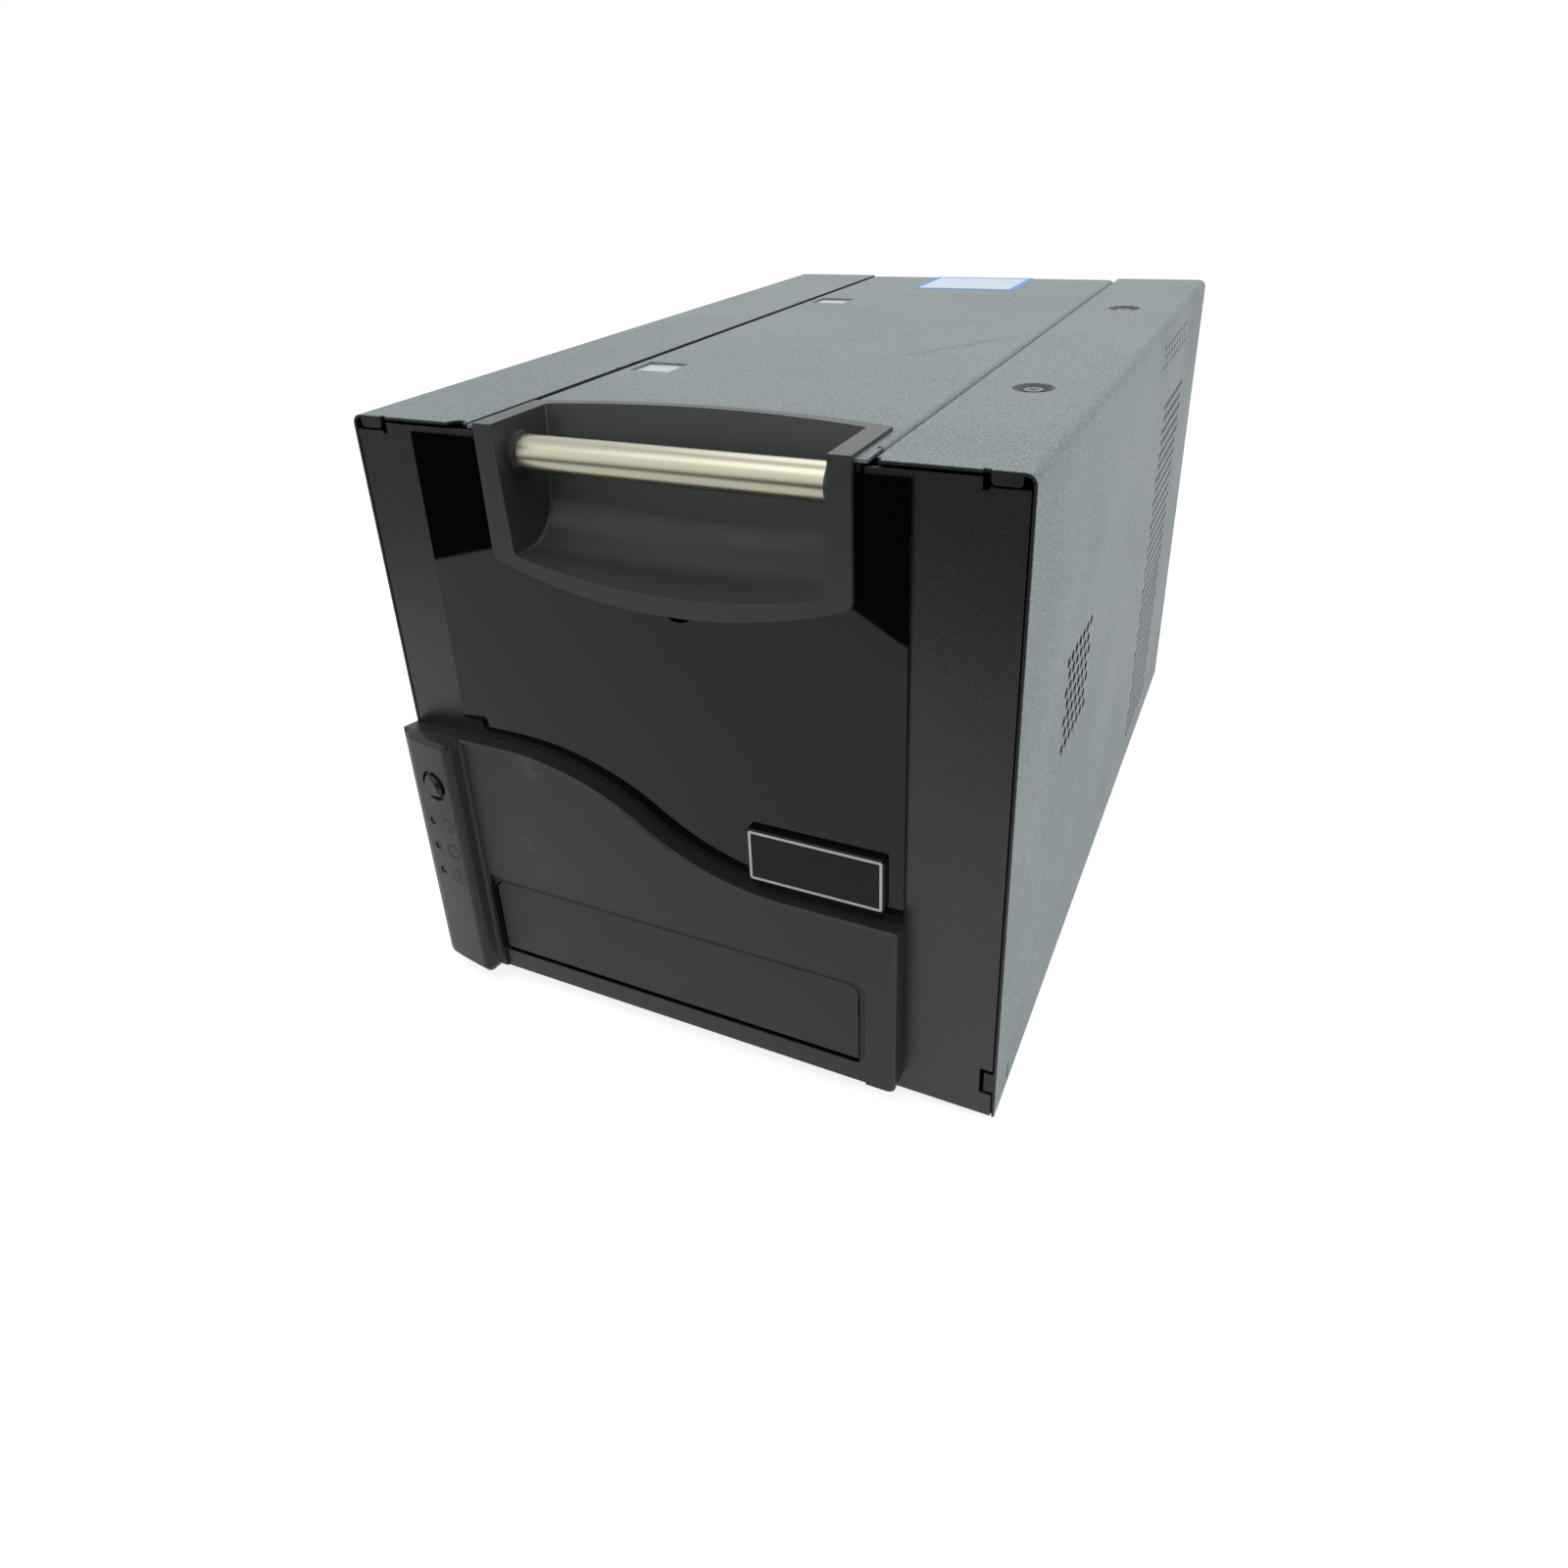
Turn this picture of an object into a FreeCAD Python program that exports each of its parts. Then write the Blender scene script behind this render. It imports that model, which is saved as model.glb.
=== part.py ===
import FreeCAD, Part
import math
import os

from FreeCAD import Vector

# Disc printer, a folded sheet-metal box with a hinged lid, a moulded front bezel and a disc tray.
# Millimetres. X to the right, front faces -Y, Z up. Origin in the middle of the resting face.
# Depths are measured back from the front plane of the sheet-metal box, heights from its underside.

# Box
box_width = 270.0
box_depth = 428.0
box_height = 265.8
foot_height = 4.0
sheet = 1.2
cover_bend = 4.0
cover_lip = 6.0
fit_gap = 0.6
front_drop = 2.5

# Lid between the covers
lid_width = 159.4
lid_centre = 2.2
seam = 1.5
lid_bend = 3.0
lid_flange = 10.0
lid_flange_start = 15.0
rear_lip = 20.0
lid_rear_gap = 4.0
pivot_inset = 12.0
pivot_radius = 3.0
running = 0.05
moving_gap = 0.3

# Gloss panel on the lid
panel_inset_left = 30.0
panel_inset_right = 39.0
panel_thick = 1.2
panel_top_drop = 4.3
panel_notch_width = 10.0
panel_notch_height = 4.2
panel_notch_radius = 3.0

# Bezel
bezel_inset_right = 39.0
bezel_bottom = 4.8
bezel_wall = 2.5
bezel_face = 9.5
ledge_high = 129.4
ledge_low = 87.6
ledge_fall = 1.4
wave_start = -82.0
wave_end = 50.0
wave_upper_radius = 120.0
wave_panel_gap = 4.3
column_bulge = 16.5
column_crest = 26.5
column_foot = 33.5
column_side = 6.0
recess_margin = 0.9
recess_depth = 1.5
recess_inset_right = 12.5
recess_top = 59.5

# Tray door
door_inset_left = 2.0
door_inset_right = 15.5
door_bottom = 14.8
door_top = 56.0
door_thick = 3.0
door_gap = 0.8
door_corner = 6.0
door_pin_radius = 1.2

# Operator button and lights
control_tilt = 10.0
button_inset = 17.5
button_height = 106.4
button_radius = 5.4
button_ring = 7.4
button_reach = 7.0
button_proud = 2.0
light_inset = 11.2
light_heights = (85.8, 72.2, 58.4)
light_radius = 1.3

# Disc tray
disc_diameter = 120.0
tray_centre = -9.5
tray_half = 64.0
tray_length = 245.0
tray_thick = 8.0
tray_set_back = 80.0
tray_tongue = 3.0
tray_travel = 220.0
disc_recess = 3.0
rack_width = 8.0
rail_start = 5.0
rail_length = 328.0

# Gears
gear_module = 2.0
pressure_angle = 20.0
backlash = 0.4
tray_pinion_teeth = 12
motor_pinion_teeth = 12
platen_gear_teeth = 24
gear_width = 6.0

# Handle
handle_centre = 2.3
handle_width = 149.4
handle_proud = 1.5
handle_face = 3.5
handle_tall = 64.4
handle_end_tall = 51.4
handle_back_mid = 41.2
handle_back_end = 31.5
handle_wall = 2.5
bar_radius = 7.0
bar_depth = 10.0
bar_drop = 12.0

# Stations of the cover screws, the lid windows and the cover tabs
stations = (112.0, 312.0)
window_inset = 15.9
window_width = 20.0
window_length = 18.5
dimple_inset = 28.7

# Rollers and spools: depth, height above the underside, radius
roller_span = 124.0
shaft_radius = 4.0
transfer_at = (150.0, 78.0)
transfer_radius = 22.0
platen_at = (150.0, 146.0)
platen_radius = 14.0
cleaner_at = (100.0, 66.8)
cleaner_radius = 9.0
film_supply_at = (98.0, 121.0)
film_takeup_at = (225.0, 106.0)
ribbon_supply_at = (95.0, 191.0)
ribbon_takeup_at = (310.0, 196.0)
full_roll = 24.0
used_roll = 17.0
flange_over = 3.0
arm_pivot_at = (245.0, 186.0)

# Derived places
half = box_width / 2
floor_z = foot_height
top_z = foot_height + box_height
front_y = column_bulge - (box_depth + column_bulge) / 2
back_y = front_y + box_depth
lid_left = lid_centre - lid_width / 2
lid_right = lid_centre + lid_width / 2
frame_left = lid_left - seam - sheet - fit_gap
frame_right = lid_right + seam + sheet + fit_gap
lid_back = box_depth - lid_rear_gap
panel_left = -half + panel_inset_left
panel_right = half - panel_inset_right
bezel_right = half - bezel_inset_right
recess_right = bezel_right - recess_inset_right
door_left = -half + column_foot + door_inset_left
door_right = bezel_right - door_inset_right
button_x = -half + button_inset
light_x = -half + light_inset
handle_low = box_height - handle_tall
handle_end = box_height - handle_end_tall
bar_height = box_height - bar_drop
window_x = lid_left + window_inset
dimple_x = half - dimple_inset
pivot_y = back_y - pivot_inset
pivot_z = top_z - pivot_inset


def depth(distance):
    """Y of a place behind the front plane."""
    return front_y + distance


def height(distance):
    """Z of a place above the underside of the box."""
    return floor_z + distance


def block(x0, x1, y0, y1, z0, z1):
    return Part.makeBox(x1 - x0, y1 - y0, z1 - z0, Vector(x0, y0, z0))


def rod(start, end, radius):
    """Round bar between two points."""
    along = end - start
    return Part.makeCylinder(radius, along.Length, start, along)


def rod_x(x0, x1, y, z, radius):
    return rod(Vector(x0, y, z), Vector(x1, y, z), radius)


def rod_y(y0, y1, x, z, radius):
    return rod(Vector(x, y0, z), Vector(x, y1, z), radius)


def rod_z(z0, z1, x, y, radius):
    return rod(Vector(x, y, z0), Vector(x, y, z1), radius)


def joined(shapes):
    """One clean solid from shapes that touch."""
    result = shapes[0]
    if len(shapes) > 1:
        result = result.multiFuse(shapes[1:])
    return result.removeSplitter()


def without(shape, cutters):
    return shape.cut(Part.makeCompound(cutters)).removeSplitter()


def in_xz(y):
    return lambda a, b: Vector(a, y, b)


def in_xy(z):
    return lambda a, b: Vector(a, b, z)


def in_yz(x):
    return lambda a, b: Vector(x, a, b)


def outline(lift, start, steps):
    """Closed wire. A step is a point for a straight run, or two points for an arc through the first."""
    edges = []
    here = lift(*start)
    for step in steps:
        if isinstance(step[0], tuple):
            end = lift(*step[1])
            edges.append(Part.Arc(here, lift(*step[0]), end).toShape())
        else:
            end = lift(*step)
            edges.append(Part.makeLine(here, end))
        here = end
    first = lift(*start)
    if here.distanceToPoint(first) > 1e-6:
        edges.append(Part.makeLine(here, first))
    return Part.Wire(edges)


def prism(wire, along):
    return Part.Face(wire).extrude(along)


def corner_mid(centre, radius, degrees):
    """Point on a round corner, for the middle of its arc."""
    angle = math.radians(degrees)
    return (centre[0] + radius * math.cos(angle), centre[1] + radius * math.sin(angle))


def rounded_outline(lift, a0, a1, b0, b1, radii):
    """Rectangle with its own radius at each corner: low-low, high-low, high-high, low-high."""
    r0, r1, r2, r3 = radii
    steps = [(a1 - r1, b0)]
    steps.append((corner_mid((a1 - r1, b0 + r1), r1, -45), (a1, b0 + r1)))
    steps.append((a1, b1 - r2))
    steps.append((corner_mid((a1 - r2, b1 - r2), r2, 45), (a1 - r2, b1)))
    steps.append((a0 + r3, b1))
    steps.append((corner_mid((a0 + r3, b1 - r3), r3, 135), (a0, b1 - r3)))
    steps.append((a0, b0 + r0))
    steps.append((corner_mid((a0 + r0, b0 + r0), r0, -135), (a0 + r0, b0)))
    return outline(lift, (a0 + r0, b0), steps)


def hexagon_holes(x0, x1, y_first, z_first, columns, rows, pitch_y, pitch_z, radius, sides):
    """Staggered field of straight-sided holes through a side wall; every second row is one shorter."""
    holes = []
    for row in range(rows):
        odd = row % 2
        for column in range(columns - odd):
            y = y_first + pitch_y * (column + odd / 2)
            z = z_first - pitch_z * row
            corners = []
            for side in range(sides):
                turn = math.radians(90 + 360 * side / sides)
                corners.append(Vector(x0, y + radius * math.cos(turn), z + radius * math.sin(turn)))
            wire = Part.makePolygon(corners + corners[:1])
            holes.append(prism(wire, Vector(x1 - x0, 0, 0)))
    return holes


def save(name, shape):
    shape.exportStep("parts/" + name + ".step")


# Covers

tab_x = half - 14.2
tab_width = 9.8
tab_drop = 4.8
tab_relief = 2.6
corner_tab_low = 13.0
corner_tab_high = 22.4
corner_tab_reach = 5.0
corner_relief = 1.8
side_slot = 1.5
seam_notch = 1.6
seam_tab_length = 13.0
dimple_radius = 8.5
dimple_floor = 5.6
dimple_depth = 2.6
screw_head_radius = 3.9
screw_head_height = 1.9
screw_shank_radius = 2.0
screw_length = 10.0
vent_back_inset = 133.0
small_vent_inset = 157.1
vent_pitch_y = 7.3
vent_pitch_z = 6.6
vent_radius = 2.6
vent_tops = (box_height - 97.6, box_height - 12.6, box_height - 47.2)
small_vent_pitch_y = 9.8
small_vent_pitch_z = 4.7
small_vent_radius = 1.8


def cover_shell(side):
    """Side wall, top strip and inner lip of one cover, folded from one sheet. Side is -1 or 1."""
    outer = side * half
    inner = lid_left - seam if side < 0 else lid_right + seam
    bend = outer - side * cover_bend
    bend_z = top_z - cover_bend
    mid = 45 if side > 0 else 135
    steps = [(outer, bend_z)]
    steps.append((corner_mid((bend, bend_z), cover_bend, mid), (bend, top_z)))
    steps.append((inner, top_z))
    steps.append((inner, top_z - cover_lip))
    steps.append((inner + side * sheet, top_z - cover_lip))
    steps.append((inner + side * sheet, top_z - sheet))
    steps.append((bend, top_z - sheet))
    steps.append((corner_mid((bend, bend_z), cover_bend - sheet, mid), (outer - side * sheet, bend_z)))
    steps.append((outer - side * sheet, floor_z))
    wire = outline(in_xz(front_y), (outer, floor_z), steps)
    return prism(wire, Vector(0, box_depth, 0))


def cover_tab(side):
    """Front tab folded down from the top strip."""
    x0 = side * tab_x if side > 0 else -tab_x - tab_width
    low = top_z - tab_drop
    wire = rounded_outline(
        in_xz(front_y), x0, x0 + tab_width, low, top_z - sheet / 2, (1.6, 1.6, 0.1, 0.1)
    )
    return prism(wire, Vector(0, sheet, 0))


def tab_relief_cuts(side):
    """Slot beside the tab and the open inner corner of the bend."""
    x_in = side * (tab_x - tab_relief)
    x_tab = side * tab_x
    slot = block(min(x_in, x_tab), max(x_in, x_tab), depth(-1), depth(sheet), top_z - sheet, top_z + 1)
    return [slot]


def corner_tab(side):
    """Small tab at the foot of the side wall, folded on to the front."""
    outer = side * half
    inner = outer - side * corner_tab_reach
    low = height(corner_tab_low)
    high = height(corner_tab_high)
    return block(min(outer, inner), max(outer, inner), front_y, depth(sheet), low, high)


def seam_notches(side):
    """Pairs of small notches in the inner edge, either side of each fastening station."""
    edge = lid_left - seam if side < 0 else lid_right + seam
    cuts = []
    for station in stations:
        for end in (-1, 1):
            y = depth(station + end * seam_tab_length / 2)
            x0 = edge - seam_notch
            cuts.append(block(x0, edge + seam_notch, y - 0.6, y + 0.6, top_z - cover_lip - 1, top_z + 1))
    return cuts


def dimple_dish(x, y):
    """Pressed recess for a cover screw, a thin dish with a hole in its floor."""
    low = top_z - dimple_depth
    steps = [
        (dimple_floor, low), (screw_shank_radius + 0.3, low), (screw_shank_radius + 0.3, low - sheet)
    ]
    steps.append((dimple_floor + 0.4, low - sheet))
    steps.append((dimple_radius + 0.4, top_z - sheet))
    steps.append((dimple_radius + 1.5, top_z - sheet))
    steps.append((dimple_radius + 1.5, top_z))
    steps.append((dimple_radius, top_z))
    wire = outline(lambda r, z: Vector(x + r, y, z), (dimple_radius, top_z), steps)
    return Part.Face(wire).revolve(Vector(x, y, 0), Vector(0, 0, 1), 360)


def lip_front_cut(side):
    """The inner lip starts behind the front sheet."""
    edge = lid_left - seam if side < 0 else lid_right + seam
    far = edge + side * 2 * sheet
    low = top_z - cover_lip - 1
    back = depth(sheet + fit_gap)
    return block(min(edge, far) - 0.1, max(edge, far) + 0.1, depth(-1), back, low, top_z - sheet)


def make_left_cover():
    shell = joined([cover_shell(-1), cover_tab(-1), corner_tab(-1)])
    corner = rod_z(top_z - cover_lip - 1, top_z + 1, lid_left - seam - 4.5, front_y, 4.0)
    return without(shell, tab_relief_cuts(-1) + seam_notches(-1) + [corner, lip_front_cut(-1)])


def make_right_cover():
    shell = joined([cover_shell(1), cover_tab(1), corner_tab(1)])
    cuts = tab_relief_cuts(1) + [lip_front_cut(1)]
    corner_y = depth(1.0)
    cuts.append(rod_z(top_z - cover_lip - 1, top_z + 1, lid_right + seam, corner_y, 2.0))
    x0 = half - 2 * sheet
    x1 = half + 1
    cuts.append(block(x0, x1, depth(19), depth(19) + side_slot, height(2), height(10.4)))
    high = vent_tops
    cuts += hexagon_holes(
        x0, x1, depth(77.8), height(high[0]), 7, 7, vent_pitch_y, vent_pitch_z, vent_radius, 6
    )
    cuts += hexagon_holes(
        x0, x1, depth(box_depth - small_vent_inset), height(high[1]), 9, 3, small_vent_pitch_y,
        small_vent_pitch_z, small_vent_radius, 4
    )
    cuts += hexagon_holes(
        x0, x1, depth(box_depth - vent_back_inset), height(high[2]), 10, 31,
        vent_pitch_y, vent_pitch_z, vent_radius, 4
    )
    for station in stations:
        cuts.append(rod_z(top_z - 2 * sheet, top_z + 1, dimple_x, depth(station), dimple_radius + 1.5))
    shell = without(shell, cuts)
    dishes = [dimple_dish(dimple_x, depth(station)) for station in stations]
    return joined([shell] + dishes)


def make_cover_screws():
    screws = []
    for station in stations:
        low = top_z - dimple_depth
        head = rod_z(low, low + screw_head_height, dimple_x, depth(station), screw_head_radius)
        shank = rod_z(low - screw_length, low, dimple_x, depth(station), screw_shank_radius)
        screws.append(joined([head, shank]))
    return Part.makeCompound(screws)


# Front sheet

strip_edge = half - sheet - fit_gap
mouth_half = 78.0
mouth_bottom = 139.5
sheet_flange = 14.0


def make_front_sheet():
    """Front plate with the lid's mouth cut from its top and the tray's opening below."""
    face = block(-strip_edge, strip_edge, front_y, depth(sheet), floor_z, top_z - front_drop)
    parts = [face]
    for side in (-1, 1):
        x0 = side * strip_edge
        x1 = side * (strip_edge - sheet)
        x_low, x_high = min(x0, x1), max(x0, x1)
        low = height(corner_tab_high + 2 * corner_relief)
        parts.append(block(x_low, x_high, front_y, depth(sheet_flange), low, top_z - cover_bend - 8))
    plate = joined(parts)
    cuts = []
    centre = lid_centre
    mouth = block(
        centre - mouth_half, centre + mouth_half, depth(-1), depth(2 * sheet), height(mouth_bottom), top_z
    )
    cuts.append(mouth)
    for side in (-1, 1):
        x_in = side * (tab_x - tab_relief)
        x_tab = side * (tab_x - 0.4)
        x_out = side * (half + 1)
        low = top_z - tab_drop - 0.9
        cuts.append(block(
            min(x_in, x_tab), max(x_in, x_tab), depth(-1), depth(2 * sheet), low - 1.0, top_z
        ))
        cuts.append(block(min(x_tab, x_out), max(x_tab, x_out), depth(-1), depth(2 * sheet), low, top_z))
        x_foot = side * (half - corner_tab_reach - corner_relief)
        foot_low = height(corner_tab_low - corner_relief)
        foot_high = height(corner_tab_high + corner_relief)
        cuts.append(
            block(min(x_foot, x_out), max(x_foot, x_out), depth(-1), depth(2 * sheet), foot_low, foot_high)
        )
    slot_left = tray_centre - tray_half - 2 * tray_tongue
    slot_right = tray_centre + tray_half + rack_width + 2 * tray_tongue
    low = height(door_bottom + 4)
    cuts.append(block(slot_left, slot_right, depth(-1), depth(2 * sheet), low, height(door_top)))
    return without(plate, cuts)


# Base, rear panel, inner frames

pan_flange = 12.0
rear_gap = 3.0


def make_base_pan():
    """Floor plate with upstand flanges inside the covers, open at the front for the bezel."""
    x1 = half - sheet
    y0 = depth(sheet)
    y1 = back_y - sheet
    floor = block(-x1, x1, y0, y1, floor_z, floor_z + sheet)
    left = block(-x1, -x1 + sheet, depth(sheet_flange + 2), y1, floor_z, height(pan_flange))
    right = block(x1 - sheet, x1, depth(sheet_flange + 2), y1, floor_z, height(pan_flange))
    rear = block(-x1, x1, y1 - sheet, y1, floor_z, height(pan_flange))
    return joined([floor, left, right, rear])


fan_x = 2.2
fan_height = 150.0
fan_size = 80.0
fan_thick = 25.0
fan_bore = 38.0
inlet_x = half - 25.0
inlet_height = 34.0
inlet_width = 27.4
inlet_tall = 19.8
inlet_depth = 22.0
inlet_flange = 4.0
inlet_clear = 1.0
rocker_height = 68.0
rocker_width = 19.0
rocker_tall = 13.0
port_x = frame_right + sheet + 13.2
port_height = 150.0
port_width = 12.0
port_tall = 11.0


def fan_grille_slots(y0, y1):
    """Three rings of four curved slots over the fan."""
    slots = []
    for outer, inner in ((36.5, 29.5), (27.0, 20.0), (17.5, 10.5)):
        ring = rod_y(y0, y1, fan_x, height(fan_height), outer)
        ring = ring.cut(rod_y(y0, y1, fan_x, height(fan_height), inner))
        bar = 2.5
        cross = block(
            fan_x - fan_size, fan_x + fan_size, y0, y1, height(fan_height) - bar, height(fan_height) + bar
        )
        upright = block(
            fan_x - bar, fan_x + bar, y0, y1, height(fan_height) - fan_size, height(fan_height) + fan_size
        )
        slots.append(ring.cut(cross).cut(upright))
    return slots


def make_rear_panel():
    y0 = back_y - sheet
    z1 = top_z - sheet
    outer = half - sheet
    corner = cover_bend
    wire = rounded_outline(in_xz(y0), -outer, outer, floor_z, z1, (0.5, 0.5, corner, corner))
    plate = prism(wire, Vector(0, sheet, 0))
    low = top_z - rear_lip - rear_gap
    cuts = [block(lid_left - seam - sheet, lid_right + seam + sheet, y0 - 1, back_y + 1, low, top_z + 1)]
    cuts += fan_grille_slots(y0 - 1, back_y + 1)
    wide = inlet_width / 2 + 0.3
    tall = inlet_tall / 2 + 0.3
    z = height(inlet_height)
    cuts.append(block(inlet_x - wide, inlet_x + wide, y0 - 1, back_y + 1, z - tall, z + tall))
    wide = rocker_width / 2 + 0.3
    tall = rocker_tall / 2 + 0.3
    z = height(rocker_height)
    cuts.append(block(inlet_x - wide, inlet_x + wide, y0 - 1, back_y + 1, z - tall, z + tall))
    wide = port_width / 2 + 0.4
    tall = port_tall / 2 + 0.4
    z = height(port_height)
    cuts.append(block(port_x - wide, port_x + wide, y0 - 1, back_y + 1, z - tall, z + tall))
    return without(plate, cuts)


frame_front = 16.0
bush_radius = 8.0
shaft_places = (
    transfer_at, platen_at, cleaner_at, film_supply_at, film_takeup_at,
    ribbon_supply_at, ribbon_takeup_at,
    arm_pivot_at,
)


def make_frame(side):
    """Inner side plate with bush holes, a foot flange and the lid pivot hole."""
    inner = frame_left if side < 0 else frame_right
    outer = inner + side * sheet
    x0, x1 = min(inner, outer), max(inner, outer)
    y0 = depth(frame_front)
    y1 = back_y - 2 * sheet
    z1 = top_z - cover_lip - fit_gap
    plate = block(x0, x1, y0, y1, floor_z + sheet, z1)
    foot_out = outer + side * pan_flange
    foot = block(
        min(inner, foot_out), max(inner, foot_out), y0, y1 - pan_flange,
        floor_z + sheet, floor_z + 2 * sheet
    )
    parts = [plate, foot]
    if side > 0:
        for station in stations:
            tab_end = dimple_x + 8
            parts.append(block(x0, tab_end, depth(station) - 9, depth(station) + 9, z1 - sheet, z1))
    plate = joined(parts)
    cuts = [rod_x(x0 - 1, x1 + 1, pivot_y, pivot_z, pivot_radius)]
    for place in shaft_places:
        cuts.append(rod_x(x0 - 1, x1 + 1, depth(place[0]), height(place[1]), bush_radius))
    if side > 0:
        for station in stations:
            cuts.append(rod_z(z1 - 2 * sheet, z1 + 1, dimple_x, depth(station), screw_shank_radius + 0.1))
        cuts.append(inlet_room())
    return without(plate, cuts)


def inlet_room():
    """Free space kept round the appliance inlet, which the frame gives way to in a narrower box."""
    wide = inlet_width / 2 + inlet_flange + inlet_clear
    tall = inlet_tall / 2 + inlet_flange + inlet_clear
    z = height(inlet_height)
    y0 = back_y - inlet_depth - inlet_clear
    return block(inlet_x - wide, inlet_x + wide, y0, back_y + 1, z - tall, z + tall)


def make_bushes():
    """Flanged bushes pressed into both frames for every shaft."""
    bushes = []
    for side in (-1, 1):
        inner = frame_left if side < 0 else frame_right
        for place in shaft_places:
            y = depth(place[0])
            z = height(place[1])
            far = inner + side * (sheet + 1.5)
            near = inner - side * 1.5
            body = rod_x(min(inner, far), max(inner, far), y, z, bush_radius)
            flange = rod_x(min(inner, near), max(inner, near), y, z, bush_radius + 1.5)
            bore = rod_x(min(near, far) - 1, max(near, far) + 1, y, z, shaft_radius + running)
            bushes.append(joined([body, flange]).cut(bore))
    return Part.makeCompound(bushes)


def make_feet():
    feet = []
    for x in (-half + 30, half - 30):
        for distance in (30.0, box_depth - 30.0):
            feet.append(Part.makeCone(
                7.5, 9.0, foot_height, Vector(x, depth(distance), 0), Vector(0, 0, 1)
            ))
    return Part.makeCompound(feet)


# Bezel

pin_inset = 2.3
light_bore = 2.1
opening_wall = 2.5
column_end_round = 2.4
bezel_corner = 3.0
edge_round = 1.0


def wave_points(rise):
    """The ledge line from the high left to the low right: two arcs that run into each other."""
    fall = ledge_high - ledge_low
    span = wave_end - wave_start
    total = (span ** 2 + fall ** 2) / (2 * fall)
    lower_radius = total - wave_upper_radius
    share = wave_upper_radius / total
    turn = math.asin(span / total)
    upper_centre = (wave_start, ledge_high - wave_upper_radius)
    lower_centre = (wave_end, ledge_low + lower_radius)
    join_x = wave_start + span * share
    join_z = ledge_high - fall * share
    upper_mid = (
        upper_centre[0] + wave_upper_radius * math.sin(turn / 2),
        upper_centre[1] + wave_upper_radius * math.cos(turn / 2),
    )
    lower_mid = (
        lower_centre[0] - lower_radius * math.sin(turn / 2),
        lower_centre[1] - lower_radius * math.cos(turn / 2),
    )
    places = [(wave_start, ledge_high), upper_mid, (join_x, join_z), lower_mid, (wave_end, ledge_low)]
    return [(x, height(z + rise)) for x, z in places]


def bezel_outline(y, rise, inset):
    """Front view of the bezel at one depth, its ledge raised by rise, drawn in by inset."""
    start, upper, join, lower, end = wave_points(rise - inset)
    left = -half + inset
    right = bezel_right - inset
    low = height(bezel_bottom) + inset
    corner = bezel_corner - inset / 2
    steps = [start, (upper, join), (lower, end), (right, end[1]), (right, low + corner)]
    steps.append((corner_mid((right - corner, low + corner), corner, -45), (right - corner, low)))
    steps.append((left, low))
    return outline(in_xz(y), (left, start[1]), steps)


def column_outline(z, inset):
    """Plan view of the bulged control column, drawn in by inset."""
    left = -half + inset
    front = front_y - column_bulge + inset
    crest = -half + column_crest
    foot = -half + column_foot - inset
    face = front_y - bezel_face + inset
    side_y = front_y - column_side
    shoulder = front_y - column_bulge + 3.4 + inset
    steps = [(left, side_y)]
    steps.append(((left + 2.3, shoulder + 2.6), (left + 7.6, shoulder)))
    steps.append(((left + 17.5, front + 1.35), (crest, front)))
    steps.append(((crest + 3.2, front + 1.0), (crest + 4.3 - inset / 2, front + 3.2)))
    steps.append((crest + 4.9 - inset / 2, face - 1.6))
    steps.append(((foot - 1.6, face - 0.5), (foot, face)))
    steps.append((foot, front_y))
    return outline(in_xy(z), (left, front_y), steps)


def control_axis():
    """Inward direction, square to the column's slanting face."""
    angle = math.radians(control_tilt)
    return Vector(math.sin(angle), math.cos(angle), 0)


def column_face(x):
    """Y of the column's face at one x, measured along the slanting face."""
    rise = (x - (-half + column_crest)) * math.tan(math.radians(control_tilt))
    return front_y - column_bulge - rise


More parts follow.
